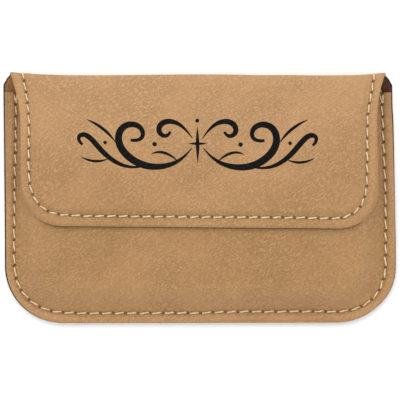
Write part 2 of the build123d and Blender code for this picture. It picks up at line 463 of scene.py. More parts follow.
class MeshMaker:
    """Makes closed sheets from pairs of faces."""

    @staticmethod
    def sheet(
        name: str,
        outer: np.ndarray,
        inner: np.ndarray,
        maps: dict[str, tuple[np.ndarray, np.ndarray]],
        finishes: Sequence[bpy.types.Material],
        flip: bool = False,
    ) -> bpy.types.Object:
        """Close two faces of a sheet with its cut edge.

        Args:
            name: the piece's name.
            outer: the outer face's points, rows by columns, in millimetres.
            inner: the inner face's points on the same grid.
            maps: the sheet's own maps, each as two arrays on the grid.
            finishes: the outer face's finish, the cut edge's and the inner face's.
            flip: True where the grid's own order would turn the faces inwards.

        Returns:
            The finished piece.
        """
        rows, columns = outer.shape[:2]
        count = rows * columns
        index = np.arange(count).reshape(rows, columns)
        quads = np.stack(
            [index[:-1, :-1], index[:-1, 1:], index[1:, 1:], index[1:, :-1]], axis=-1
        ).reshape(-1, 4)
        loop = np.concatenate(
            [index[0, :-1], index[:-1, -1], index[-1, :0:-1], index[:0:-1, 0]]
        )
        following = np.roll(loop, -1)
        rim = np.stack([following, loop, loop + count, following + count], axis=-1)
        faces = np.concatenate([quads, quads[:, ::-1] + count, rim])
        if flip:
            faces = faces[:, ::-1]
        points = np.concatenate([outer.reshape(-1, 3), inner.reshape(-1, 3)]) * MM

        mesh = bpy.data.meshes.new(name)
        mesh.from_pydata(points.tolist(), [], faces.tolist())
        slots = np.concatenate(
            [np.zeros(len(quads)), np.full(len(quads), 2), np.full(len(rim), 1)]
        )
        for finish in finishes:
            mesh.materials.append(finish)
        mesh.polygons.foreach_set("material_index", slots.astype(np.int32))
        corners = np.zeros(len(mesh.loops), np.int32)
        mesh.loops.foreach_get("vertex_index", corners)
        for title, (u, w) in maps.items():
            layer = mesh.uv_layers.new(name=title)
            flat = np.stack([u.ravel(), w.ravel()], axis=-1)
            both = np.concatenate([flat, flat])[corners]
            layer.data.foreach_set("uv", both.astype(np.float32).ravel())
        mesh.validate()
        piece = bpy.data.objects.new(name, mesh)
        bpy.context.scene.collection.objects.link(piece)
        Workbench.pick(piece)
        bpy.ops.object.shade_smooth_by_angle(angle=radians(42))
        return piece


class Workbench:
    """Short calls for picking pieces and working on them with operators."""

    @staticmethod
    def clear() -> None:
        """Deselect everything."""
        bpy.ops.object.select_all(action="DESELECT")

    @staticmethod
    def pick(piece: bpy.types.Object) -> None:
        """Select one piece alone and make it active.

        Args:
            piece: the piece.
        """
        Workbench.clear()
        piece.select_set(True)
        bpy.context.view_layer.objects.active = piece

    @staticmethod
    def apply_modifiers(piece: bpy.types.Object) -> None:
        """Apply every modifier of a piece in order.

        Args:
            piece: the piece.
        """
        Workbench.pick(piece)
        for modifier in list(piece.modifiers):
            bpy.ops.object.modifier_apply(modifier=modifier.name)


class Shader:
    """A material's node tree, with short calls that add nodes and link them."""

    def __init__(self, name: str) -> None:
        """Start an empty material.

        Args:
            name: the material's name.
        """
        self.material = bpy.data.materials.new(name)
        self.material.use_nodes = True
        self.tree = self.material.node_tree
        self.tree.nodes.clear()

    def add(self, kind: str, inputs: dict | None = None, **settings: object) -> bpy.types.Node:
        """Add a node, set it up and link it.

        Args:
            kind: the node's type, without its ShaderNode prefix.
            inputs: values or sockets for its inputs, by name or number.
            settings: the node's own settings.

        Returns:
            The new node.
        """
        node = self.tree.nodes.new("ShaderNode" + kind)
        for key, value in settings.items():
            setattr(node, key, value)
        for key, value in (inputs or {}).items():
            socket = node.inputs[key]
            if isinstance(value, bpy.types.NodeSocket):
                self.tree.links.new(value, socket)
            else:
                socket.default_value = value
        return node

    def sum(self, operation: str, *values: object) -> Socket:
        """Combine numbers with one of the Math node's operations."""
        node = self.add("Math", dict(enumerate(values)), operation=operation)
        return node.outputs[0]

    def fade(self, value: object, start: float, end: float) -> Socket:
        """Rise smoothly from 0 at start to 1 at end.

        Args:
            value: where to read it.
            start: where it is 0.
            end: where it is 1.

        Returns:
            The rise at the value.
        """
        inputs = {"Value": value, "From Min": start, "From Max": end}
        node = self.add("MapRange", inputs, interpolation_type="SMOOTHSTEP")
        return node.outputs[0]

    def mix(self, share: object, first: object, second: object) -> Socket:
        """Mix two colours by a share."""
        node = self.add("Mix", {0: share, 6: first, 7: second}, data_type="RGBA")
        return node.outputs[2]

    def noise(self, vector: object, scale: float, detail: float = 2.0) -> Socket:
        """Read soft noise."""
        inputs = {"Vector": vector, "Scale": scale, "Detail": detail}
        return self.add("TexNoise", inputs).outputs[0]

    def bump(
        self,
        height: object,
        strength: float,
        distance: float,
        normal: Socket | None = None,
        invert: bool = False,
    ) -> Socket:
        """Raise the surface by a height.

        Args:
            height: how high it is, from 0 to 1.
            strength: how much of the bump is seen.
            distance: what a height of 1 stands for, in metres.
            normal: the normal of the bumps below it.
            invert: True to sink it.

        Returns:
            The surface's normal.
        """
        inputs = {"Strength": strength, "Distance": distance, "Height": height}
        if normal is not None:
            inputs["Normal"] = normal
        return self.add("Bump", inputs, invert=invert).outputs[0]

    def surface(self, **sockets: object) -> bpy.types.Material:
        """Finish the material with a Principled shader.

        Args:
            sockets: values or sockets by input name, with underscores for spaces.

        Returns:
            The finished material.
        """
        inputs = {key.replace("_", " "): value for key, value in sockets.items()}
        shader = self.add("BsdfPrincipled", inputs)
        self.add("OutputMaterial", {"Surface": shader.outputs[0]})
        return self.material


@dataclass(frozen=True)
class Leatherette:
    """Soft-grained leatherette with a low sheen, and dark needle holes along its seam.

    It reads two maps of the sheet: Blank, its place on the uncut sheet in metres, and Seam, the stitch's
    number along the seam and the distance in from it in millimetres.

    Attributes:
        name: the material's name.
        pitch: the stitches' length in millimetres.
        painted_light_tint: how much paler or darker the whole copy is painted: painted light, with the
            flap's copy paler than the body's.
        painted_fold_light: painted light: how much paler it is painted from its free edge to the fold,
            as if lit from beyond the spine.
        painted_rim_light: painted light: how much paler the border outside the seam is painted, against
            the shade that falls there.
        painted_slope_light: painted light: how much paler the slope inside the seam is painted, against
            the shade that falls there.
        fold_at: where on the sheet the fold is, in metres.
        free_at: where the free edge is.
        inset: how far in from the cut edge the seam is, in millimetres.
    """

    name: str
    pitch: float
    painted_light_tint: float = 0.0
    painted_fold_light: float = 0.0
    painted_rim_light: float = 0.0
    painted_slope_light: float = 0.0
    fold_at: float = 0.004
    free_at: float = 0.047
    inset: float = 2.6
    cloud_share: float = 0.30
    patch_share: float = 0.27
    wrinkle_share: float = 0.23
    grain_share: float = 0.82
    deep: Colour = (0.238, 0.118, 0.028, 1.0)
    pale: Colour = (0.447, 0.258, 0.124, 1.0)
    hole: Colour = (0.190, 0.095, 0.028, 1.0)
    burnish: Colour = (0.215, 0.112, 0.036, 1.0)

    def make(self) -> bpy.types.Material:
        """Build the material.

        Returns:
            The finished material.
        """
        s = Shader(self.name)
        blank = s.add("UVMap", uv_map="Blank").outputs[0]
        seam = s.add("SeparateXYZ", {0: s.add("UVMap", uv_map="Seam").outputs[0]})
        run, off = seam.outputs[0], seam.outputs[1]
        patches = s.noise(blank, 170.0, 3.0)
        grain = s.noise(blank, 1700.0, 2.0)
        wrinkle = self.wrinkles(s, blank)

        tone = self.grain_tone(s, blank, patches, wrinkle, grain)
        # Painted light: the whole copy is painted paler or darker, so that the flap's copy is paler than
        # the body's.
        tone = s.sum("ADD", self.place_tone(s, blank, off, tone), 0.5 + self.painted_light_tint)
        ragged = s.sum("MULTIPLY_ADD", grain, 0.22, self.from_hole(s, run, off))
        pierced = s.fade(ragged, 0.54, 0.36)
        colour = self.mark_seam(s, s.mix(tone, self.deep, self.pale), off, ragged)
        return s.surface(
            Base_Color=s.mix(pierced, colour, self.hole),
            Roughness=s.sum("MULTIPLY_ADD", patches, 0.16, 0.52),
            Normal=self.relief(s, blank, wrinkle, grain, pierced),
            Specular_IOR_Level=0.22,
            Sheen_Weight=0.04,
            Sheen_Roughness=0.5,
        )

    def wrinkles(self, s: Shader, blank: Socket) -> Socket:
        """Draw long fine wrinkles that run aslant.

        Args:
            s: the material's nodes.
            blank: the place on the uncut sheet.

        Returns:
            0 in a wrinkle and 1 between wrinkles.
        """
        slant = s.add(
            "Mapping",
            {"Vector": blank, "Rotation": (0, 0, radians(-40)), "Scale": (1.0, 0.42, 1.0)},
            vector_type="TEXTURE",
        ).outputs[0]
        creases = s.noise(slant, 560.0, 3.0)
        return s.fade(s.sum("ABSOLUTE", s.sum("SUBTRACT", creases, 0.5)), 0.0, 0.09)

    def grain_tone(
        self, s: Shader, blank: Socket, patches: Socket, wrinkle: Socket, grain: Socket
    ) -> Socket:
        """Add up what the clouds, patches, wrinkles and grain do to the tone.

        Args:
            s: the material's nodes.
            blank: the place on the uncut sheet.
            patches: patches a few millimetres wide.
            wrinkle: the wrinkles.
            grain: the finest grain.

        Returns:
            The tone, about 0.
        """
        clouds = s.noise(blank, 36.0, 3.0)
        tone = s.sum("MULTIPLY_ADD", clouds, self.cloud_share, -self.cloud_share / 2)
        shares = (
            (patches, 0.5, self.patch_share),
            (wrinkle, 0.6, self.wrinkle_share),
            (grain, 0.5, self.grain_share),
        )
        for value, middle, share in shares:
            tone = s.sum("MULTIPLY_ADD", s.sum("SUBTRACT", value, middle), share, tone)
        return tone

    def place_tone(self, s: Shader, blank: Socket, off: Socket, tone: Socket) -> Socket:
        """Paint light into the leatherette: paler towards its fold, as if lit from beyond the spine, and
        paler on its border and its slope, against the shade that falls there.

        Args:
            s: the material's nodes.
            blank: the place on the uncut sheet.
            off: the distance in from the seam.
            tone: the tone so far.

        Returns:
            The tone with the paler places.
        """
        down = s.add("SeparateXYZ", {0: blank}).outputs[1]
        # Painted light: paler towards the fold, as if lit from beyond the spine.
        towards_fold = s.fade(down, self.free_at, self.fold_at)
        tone = s.sum("MULTIPLY_ADD", towards_fold, self.painted_fold_light, tone)
        # Painted light: paler on the border outside the seam and on the slope inside it, against the
        # shade that falls there.
        tone = s.sum("MULTIPLY_ADD", s.fade(off, -0.5, -1.5), self.painted_rim_light, tone)
        slope = s.sum("MULTIPLY", s.fade(off, 0.6, 2.4), s.fade(off, 9.0, 5.0))
        return s.sum("MULTIPLY_ADD", slope, self.painted_slope_light, tone)

    def from_hole(self, s: Shader, run: Socket, off: Socket) -> Socket:
        """Measure how far a place is from the nearest needle hole.

        Args:
            s: the material's nodes.
            run: the stitch's number along the seam.
            off: the distance in from the seam.

        Returns:
            The distance, in millimetres.
        """
        step = s.sum("SUBTRACT", s.sum("FRACT", s.sum("ADD", run, 0.5)), 0.5)
        leaned = s.sum("MULTIPLY_ADD", off, 0.35, s.sum("MULTIPLY", step, self.pitch))
        squares = s.sum("ADD", s.sum("POWER", leaned, 2.0), s.sum("POWER", off, 2.0))
        return s.sum("SQRT", squares)

    def mark_seam(self, s: Shader, colour: Socket, off: Socket, ragged: Socket) -> Socket:
        """Darken what the thread presses, what the needle bruises and what rubs at the edge.

        Args:
            s: the material's nodes.
            colour: the leatherette's colour.
            off: the distance in from the seam.
            ragged: the uneven distance from the nearest hole.

        Returns:
            The darkened colour.
        """
        pressed = s.fade(s.sum("ABSOLUTE", off), 0.75, 0.1)
        bruise = s.fade(ragged, 0.85, 0.35)
        rubbed = s.fade(s.sum("ADD", off, self.inset), 0.55, 0.0)
        for mark, share in ((pressed, 0.16), (bruise, 0.35), (rubbed, 0.25)):
            colour = s.mix(s.sum("MULTIPLY", mark, share), colour, self.burnish)
        return colour

    def relief(
        self, s: Shader, blank: Socket, wrinkle: Socket, grain: Socket, pierced: Socket
    ) -> Socket:
        """Raise the pebbles, wrinkles and grain, and sink the holes.

        Args:
            s: the material's nodes.
            blank: the place on the uncut sheet.
            wrinkle: the wrinkles.
            grain: the finest grain.
            pierced: 1 in a hole.

        Returns:
            The surface's normal.
        """
        pebble = s.add(
            "TexVoronoi", {"Vector": blank, "Scale": 1500.0, "Randomness": 1.0}
        ).outputs[0]
        handling = s.fade(s.noise(blank, 55.0, 1.0), 0.35, 0.65)
        handled = s.sum("MULTIPLY", wrinkle, s.sum("MULTIPLY_ADD", handling, 0.6, 0.4))
        normal = s.bump(pebble, 0.6, 0.00005)
        normal = s.bump(handled, 0.8, 0.00015, normal)
        normal = s.bump(grain, 0.9, 0.00009, normal)
        return s.bump(pierced, 1.0, 0.0004, normal, invert=True)


@dataclass(frozen=True)
class CutEdge:
    """The raw edge of the sheet, with its dark core showing."""

    name: str = "cut_edge"
    core: Colour = (0.028, 0.017, 0.012, 1.0)
    fibre: Colour = (0.095, 0.055, 0.034, 1.0)

    def make(self) -> bpy.types.Material:
        """Build the material.

        Returns:
            The finished material.
        """
        s = Shader(self.name)
        blank = s.add("UVMap", uv_map="Blank").outputs[0]
        fibres = s.noise(blank, 900.0, 5.0)
        colour = s.mix(s.fade(fibres, 0.35, 0.75), self.core, self.fibre)
        rough = s.bump(fibres, 0.6, 0.0001)
        return s.surface(
            Base_Color=colour, Roughness=0.86, Normal=rough, Specular_IOR_Level=0.2
        )


@dataclass(frozen=True)
class Lining:
    """A dark woven lining, with the slant of a twill.

    At the back's shoulder it is painted paler on the left and darker on the right: painted light from
    the left and painted shade on the right.
    """

    name: str = "lining"
    warp: Colour = (0.045, 0.015, 0.008, 1.0)
    weft: Colour = (0.345, 0.165, 0.063, 1.0)
    threads_per_metre: float = 2300.0
    # How strongly the painted side light and shade shift the lining's colour.
    painted_light_shift: float = 0.36

    def make(self) -> bpy.types.Material:
        """Build the material.

        Returns:
            The finished material.
        """
        s = Shader(self.name)
        blank = s.add("UVMap", uv_map="Blank").outputs[0]
        axes = s.add("SeparateXYZ", {0: blank})
        count = self.threads_per_metre * 2 * pi
        across = s.sum("SINE", s.sum("MULTIPLY", axes.outputs[0], count))
        along = s.sum("SINE", s.sum("MULTIPLY", axes.outputs[1], count))
        both = s.sum("ADD", axes.outputs[0], axes.outputs[1])
        rib = s.sum("SINE", s.sum("MULTIPLY", both, count / 2))
        weave = s.sum("MULTIPLY_ADD", s.sum("MULTIPLY", across, along), 0.25, 0.42)
        weave = s.sum("MULTIPLY_ADD", rib, 0.2, weave)
        slub = s.noise(blank, 900.0, 3.0)
        share = s.sum("MULTIPLY_ADD", s.sum("SUBTRACT", slub, 0.5), 1.0, weave)
        # Painted light: paler at the left of the back's shoulder and darker at its right, as if lit from
        # the left.
        place = s.add("SeparateXYZ", {0: s.add("TexCoord").outputs["Object"]}).outputs[0]
        at_shoulder = s.fade(axes.outputs[1], -0.053, -0.059)
        lighter = s.fade(place, -0.044, -0.049)
        darker = s.fade(place, 0.044, 0.049)
        painted_side_light = s.sum("MULTIPLY", at_shoulder, s.sum("SUBTRACT", lighter, darker))
        share = s.sum("MULTIPLY_ADD", painted_side_light, self.painted_light_shift, share)
        colour = s.mix(share, self.warp, self.weft)
        woven = s.bump(weave, 0.7, 0.00008)
        return s.surface(
            Base_Color=colour,
            Roughness=0.82,
            Normal=woven,
            Specular_IOR_Level=0.2,
            Sheen_Weight=0.1,
            Sheen_Roughness=0.45,
        )


@dataclass(frozen=True)
class Thread:
    """Twisted polyester thread in cream."""

    name: str = "cream_thread"
    lit: Colour = (0.74, 0.56, 0.36, 1.0)
    shaded: Colour = (0.47, 0.30, 0.15, 1.0)

    def make(self) -> bpy.types.Material:
        """Build the material.

        Returns:
            The finished material.
        """
        s = Shader(self.name)
        strand = s.add("UVMap", uv_map="Strand").outputs[0]
        axes = s.add("SeparateXYZ", {0: strand})
        run, around = axes.outputs[0], axes.outputs[1]
        turned = s.sum("MULTIPLY_ADD", run, 9.0, s.sum("MULTIPLY", around, 4 * pi))
        plies = s.sum("MULTIPLY_ADD", s.sum("SINE", turned), 0.5, 0.5)
        painted_light_shift = s.noise(strand, 1.7, 3.0)
        share = s.sum("MULTIPLY_ADD", s.sum("SUBTRACT", painted_light_shift, 0.5), 0.8, plies)
        colour = s.mix(s.fade(share, -0.1, 0.6), self.shaded, self.lit)
        laid = s.bump(plies, 0.5, 0.00006)
        return s.surface(
            Base_Color=colour,
            Roughness=0.62,
            Normal=laid,
            Specular_IOR_Level=0.35,
            Sheen_Weight=0.3,
            Sheen_Roughness=0.4,
        )


@dataclass(frozen=True)
class Engraving:
    """The charred black of a laser engraving."""

    name: str = "engraving"
    char: Colour = (0.003, 0.0032, 0.004, 1.0)
    soot: Colour = (0.010, 0.009, 0.0085, 1.0)

    def make(self) -> bpy.types.Material:
        """Build the material.

        Returns:
            The finished material.
        """
        s = Shader(self.name)
        blank = s.add("UVMap", uv_map="Blank").outputs[0]
        soot = s.noise(blank, 1400.0, 3.0)
        colour = s.mix(s.fade(soot, 0.4, 0.75), self.char, self.soot)
        pitted = s.bump(soot, 0.5, 0.00004)
        return s.surface(
            Base_Color=colour, Roughness=0.8, Normal=pitted, Specular_IOR_Level=0.08
        )


@dataclass(frozen=True)
class Greyboard:
    """Pressed grey board, flecked with fibre."""

    name: str = "greyboard"
    pulp: Colour = (0.30, 0.26, 0.20, 1.0)
    fleck: Colour = (0.16, 0.13, 0.10, 1.0)

    def make(self) -> bpy.types.Material:
        """Build the material.

        Returns:
            The finished material.
        """
        s = Shader(self.name)
        place = s.add("TexCoord").outputs["Object"]
        fibres = s.add("Mapping", {"Vector": place, "Scale": (1.0, 4.0, 1.0)}).outputs[0]
        flecks = s.noise(fibres, 700.0, 5.0)
        colour = s.mix(s.fade(flecks, 0.55, 0.72), self.pulp, self.fleck)
        rough = s.bump(flecks, 0.4, 0.0001)
        return s.surface(Base_Color=colour, Roughness=0.9, Normal=rough, Specular_IOR_Level=0.2)


@dataclass(frozen=True)
class NickelPlate:
    """Dull nickel plate with the fine scratches of handling."""

    name: str = "nickel_plate"
    bright: Colour = (0.62, 0.61, 0.58, 1.0)
    dull: Colour = (0.45, 0.44, 0.42, 1.0)

    def make(self) -> bpy.types.Material:
        """Build the material.

        Returns:
            The finished material.
        """
        s = Shader(self.name)
        place = s.add("TexCoord").outputs["Object"]
        brushed = s.add("Mapping", {"Vector": place, "Scale": (1.0, 14.0, 1.0)}).outputs[0]
        scratches = s.noise(brushed, 500.0, 4.0)
        colour = s.mix(scratches, self.dull, self.bright)
        shine = s.sum("MULTIPLY_ADD", scratches, 0.25, 0.22)
        return s.surface(Base_Color=colour, Roughness=shine, Metallic=1.0)


@dataclass(frozen=True)
class StudioFloor:
    """The plain pale surface that the case lies on."""

    name: str = "studio_floor"
    pale: Colour = (0.93, 0.93, 0.93, 1.0)
    paler: Colour = (0.96, 0.96, 0.96, 1.0)

    def make(self) -> bpy.types.Material:
        """Build the material.

        Returns:
            The finished material.
        """
        s = Shader(self.name)
        place = s.add("TexCoord").outputs["Object"]
        colour = s.mix(s.noise(place, 3.0, 2.0), self.pale, self.paler)
        return s.surface(Base_Color=colour, Roughness=0.75, Specular_IOR_Level=0.2)


class Finishes:
    """Every finish of the case, made once."""

    def __init__(self, sizes: CaseSizes) -> None:
        """Make the finishes.

        Args:
            sizes: the case's sizes, whose stitches the leatherette's holes follow.
        """
        # Painted light: the body's copy is painted a little darker overall, and paler on its border and
        # its slope against the shade there.
        self.body_leather = Leatherette(
            "leatherette_body", sizes.body_pitch, painted_light_tint=-0.03, painted_rim_light=0.25, painted_slope_light=0.12
        ).make()
        # Painted light: the flap's copy is painted paler overall and paler still towards its fold, as if
        # lit from beyond the spine.
        self.flap_leather = Leatherette(
            "leatherette_flap", sizes.flap_pitch, painted_light_tint=0.07, painted_rim_light=0.05, painted_fold_light=0.24
        ).make()
        self.edge = CutEdge().make()
        self.lining = Lining().make()
        self.thread = Thread().make()
        self.engraving = Engraving().make()
        self.board = Greyboard().make()
        self.nickel = NickelPlate().make()
        self.floor = StudioFloor().make()


class Ripple:
    """The low, soft unevenness of a sheet that has been handled."""

    def __init__(self, seed: int, height: float) -> None:
        """Draw the waves.

        Args:
            seed: start of the random draws.
            height: how high the waves add up to, roughly, in millimetres.
        """
        draw = np.random.default_rng(seed)
        lengths = draw.uniform(7.0, 34.0, 14)
        turns = draw.uniform(0.0, pi, 14)
        self.along_x = 2 * pi * np.cos(turns) / lengths
        self.along_v = 2 * pi * np.sin(turns) / lengths
        self.start = draw.uniform(0.0, 2 * pi, 14)
        self.share = height * lengths / lengths.sum() * 1.6

    def __call__(self, x: np.ndarray, v: np.ndarray) -> np.ndarray:
        """Give the sheet's unevenness at places on its cut.

        Args:
            x: place across the case.
            v: distance from the free edge.

        Returns:
            The height at each place.
        """
        x, v = np.asarray(x, float), np.asarray(v, float)
        total = np.zeros(np.broadcast(x, v).shape)
        for kx, kv, start, share in zip(self.along_x, self.along_v, self.start, self.share):
            total += share * np.sin(kx * x + kv * v + start)
        return total


def body_wander(share: np.ndarray) -> np.ndarray:
    """Give how far in from its line the seam round back and front strays, by share of its run.

    Args:
        share: share of the seam's run.

    Returns:
        The distance, in millimetres.
    """
    places = (
        0.0, 0.05, 0.13, 0.16, 0.20, 0.24, 0.265, 0.285, 0.305, 0.324, 0.345,
        0.50, 0.53, 0.65, 0.69, 0.71, 0.735, 0.755, 0.80, 0.87, 0.945, 1.0,
    )
    strays = (
        0.60, 0.45, -0.12, -0.25, -0.40, -0.25, -0.25, 0.05, 0.37, 0.42, 0.15,
        0.22, 0.50, 0.60, 0.45, 0.10, -0.20, 0.10, 0.07, -0.10, 0.05, 0.05,
    )
    return np.interp(share, places, strays)


def flap_wander(share: np.ndarray) -> np.ndarray:
    """Give how far in from its line the flap's seam strays, by share of its run.

    Args:
        share: share of the seam's run.

    Returns:
        The distance, in millimetres.
    """
    places = (
        0.0, 0.03, 0.045, 0.065, 0.082, 0.12, 0.16, 0.20, 0.225, 0.25, 0.27, 0.292, 0.33,
        0.66, 0.70, 0.73, 0.755, 0.78, 0.80, 0.86, 0.90, 0.918, 0.937, 0.956, 0.972, 1.0,
    )
    strays = (
        0.85, 0.78, 0.42, 0.10, -0.15, -0.22, -0.38, -0.25, 0.30, 0.42, 0.70, 0.45, 0.30,
        0.34, 0.20, 0.33, 0.56, 0.82, 0.55, 0.26, 0.12, -0.08, -0.40, -0.10, 0.46, 0.60,
    )
    return np.interp(share, places, strays)


@dataclass
class SewnPanel:
    """A cut of leatherette with a seam round its edge: what back, flap and front share."""

    sizes: CaseSizes
    finishes: Finishes
    drift: HandDrift
    seed: int = 1

    outward: int = 1
    ripple_height: float = 0.10
    edge_round: float = 0.2
    groove: float = 0.24
    pinch: float = 0.17
    swell_inside: float = 0.07
    swell_outside: float = 0.05

    def __post_init__(self) -> None:
        """Work out the plan, the fold and the stitches."""
        self.ripple = Ripple(self.seed, self.ripple_height)
        self.fold = self.make_fold()
        self.plan = self.make_plan()
        self.stitches = round(self.plan.seam_length() / self.pitch_wanted)
        self.pitch = self.plan.seam_length() / self.stitches

    @property
    def pitch_wanted(self) -> float:
        """Length of a stitch, before the stitches are fitted to the seam."""
        return self.sizes.body_pitch

    def make_fold(self) -> Fold:
        """Say how the cut lies in space."""
        raise NotImplementedError

    def make_plan(self, spacing: float = 0.5, fine: bool = True) -> Plan:
        """Say what outline the cut has."""
        raise NotImplementedError

    def hang(self, x: np.ndarray, v: np.ndarray, inset: np.ndarray) -> np.ndarray:
        """Give how both sheets sag together, above 0 or below."""
        return np.zeros(np.broadcast(x, v).shape)

    def padding(self, v: np.ndarray, inset: np.ndarray) -> np.ndarray:
        """Give how far what is under the leatherette lifts it."""
        return np.zeros(np.broadcast(v, inset).shape)

    def blank(self, x: np.ndarray, v: np.ndarray) -> tuple[np.ndarray, np.ndarray]:
        """Give the places on the uncut sheet, in metres, that the grain is drawn on."""
        return x * MM + 0.31 * self.seed, -np.asarray(v, float) * MM

    def from_spine(self, v: np.ndarray) -> np.ndarray:
        """Distance of a place on the cut from the spine's outer face."""
        return self.sizes.top - self.fold.start_y - np.asarray(v, float)

    def seam_relief(self, inset: np.ndarray, along: np.ndarray) -> np.ndarray:
        """Give how the thread pulls the leatherette down, and how the cut edge rounds off.

        Args:
            inset: distance in from the cut edge.
            along: distance along the seam.

        Returns:
            The height that they add.
        """
        off = self.plan.off_seam(inset, along)
        beat = 0.5 + 0.5 * np.cos(2 * pi * along / self.pitch)
        sunk = self.groove * bump_at(off, 0.42) + self.pinch * bump_at(off, 0.8) * beat**2
        swell = self.swell_inside * bump_at(off - 1.25, 0.75)
        swell = swell + self.swell_outside * bump_at(off + 1.15, 0.6)
        rounded = self.edge_round * (1 - np.clip(inset / 0.5, 0.0, 1.0)) ** 2
        return swell - sunk - rounded

    def body_height(self, x: np.ndarray, v: np.ndarray, inset: np.ndarray) -> np.ndarray:
        """Give the leatherette's height above its border, without the seam's marks."""
        return self.hang(x, v, inset) + self.padding(v, inset)

    def face_height(self, x: np.ndarray, v: np.ndarray, inset: np.ndarray) -> np.ndarray:
        """Give the outer face's height, with its ripples."""
        return self.body_height(x, v, inset) + self.ripple(x, v) * smooth(inset, 0.5, 4.0)

    def under_height(self, x: np.ndarray, v: np.ndarray, inset: np.ndarray) -> np.ndarray:
        """Give the inner face's height, a sheet's thickness square to the slope below.

        Args:
            x: place across the case.
            v: distance from the free edge.
            inset: distance in from the cut edge.

        Returns:
            The height above the border.
        """
        reach = 0.1
        rise = self.padding(v, inset + reach) - self.padding(v, inset - reach)
        slope = rise / (2 * reach)
        return self.body_height(x, v, inset) - self.sizes.leather * np.sqrt(1 + slope**2)

    def build_leather(self, name: str, finish: bpy.types.Material) -> bpy.types.Object:
        """Make the cut's leatherette.

        Args:
            name: the piece's name.
            finish: the leatherette's finish.

        Returns:
            The finished piece.
        """
        grid = self.plan.grid()
        height = self.face_height(grid.x, grid.v, grid.inset)
        height = height + self.seam_relief(grid.inset, grid.along)
        under = self.under_height(grid.x, grid.v, grid.inset)
        outer = self.fold.place(grid.x, grid.v, height)
        inner = self.fold.place(grid.x, grid.v - self.skive(grid), under)
        off = self.plan.off_seam(grid.inset, grid.along)
        maps = {
            "Blank": self.blank(grid.x, grid.v),
            "Seam": (grid.along / self.pitch, off),
        }
        edge = self.finishes.edge
        piece = MeshMaker.sheet(
            name, outer, inner, maps, (finish, edge, edge), flip=self.outward < 0
        )
        return piece

    def skive(self, grid: Grid) -> np.ndarray:
        """Give how far the cut edge leans out under the face."""
        return np.zeros_like(grid.v)

    def lining_faces(self, grid: Grid) -> tuple[np.ndarray, np.ndarray]:
        """Give the heights of the lining's two faces, the one against the leatherette first."""
        raise NotImplementedError

    def build_lining(self, name: str, spread: float = 0.0) -> bpy.types.Object:
        """Make the cut's lining.

        Args:
            name: the piece's name.
            spread: how far it reaches past the leatherette's edge.

        Returns:
            The finished piece.
        """
        plan = self.make_plan(spacing=0.9, fine=False)
        plan.half_width += spread
        grid = plan.grid()
        near, far = self.lining_faces(grid)
        outer = self.fold.place(grid.x, grid.v, near)
        inner = self.fold.place(grid.x, grid.v, far)
        cloth = self.finishes.lining
        maps = {"Blank": self.blank(grid.x, grid.v)}
        piece = MeshMaker.sheet(
            name, outer, inner, maps, (cloth, cloth, cloth), flip=self.outward < 0
        )
        return piece

    def declare(self, piece: bpy.types.Object, held: Hold, rests_on: Sequence[str]) -> None:
        """Work out half the widest width that the sheet was cut to; nothing is declared and the result
        is not kept.

        Args:
            piece: the sheet; not used.
            held: how it is held; not used.
            rests_on: what it lies on; not used.
        """
        half = max(self.plan.half_width, float(self.plan.half_at(self.plan.length)))


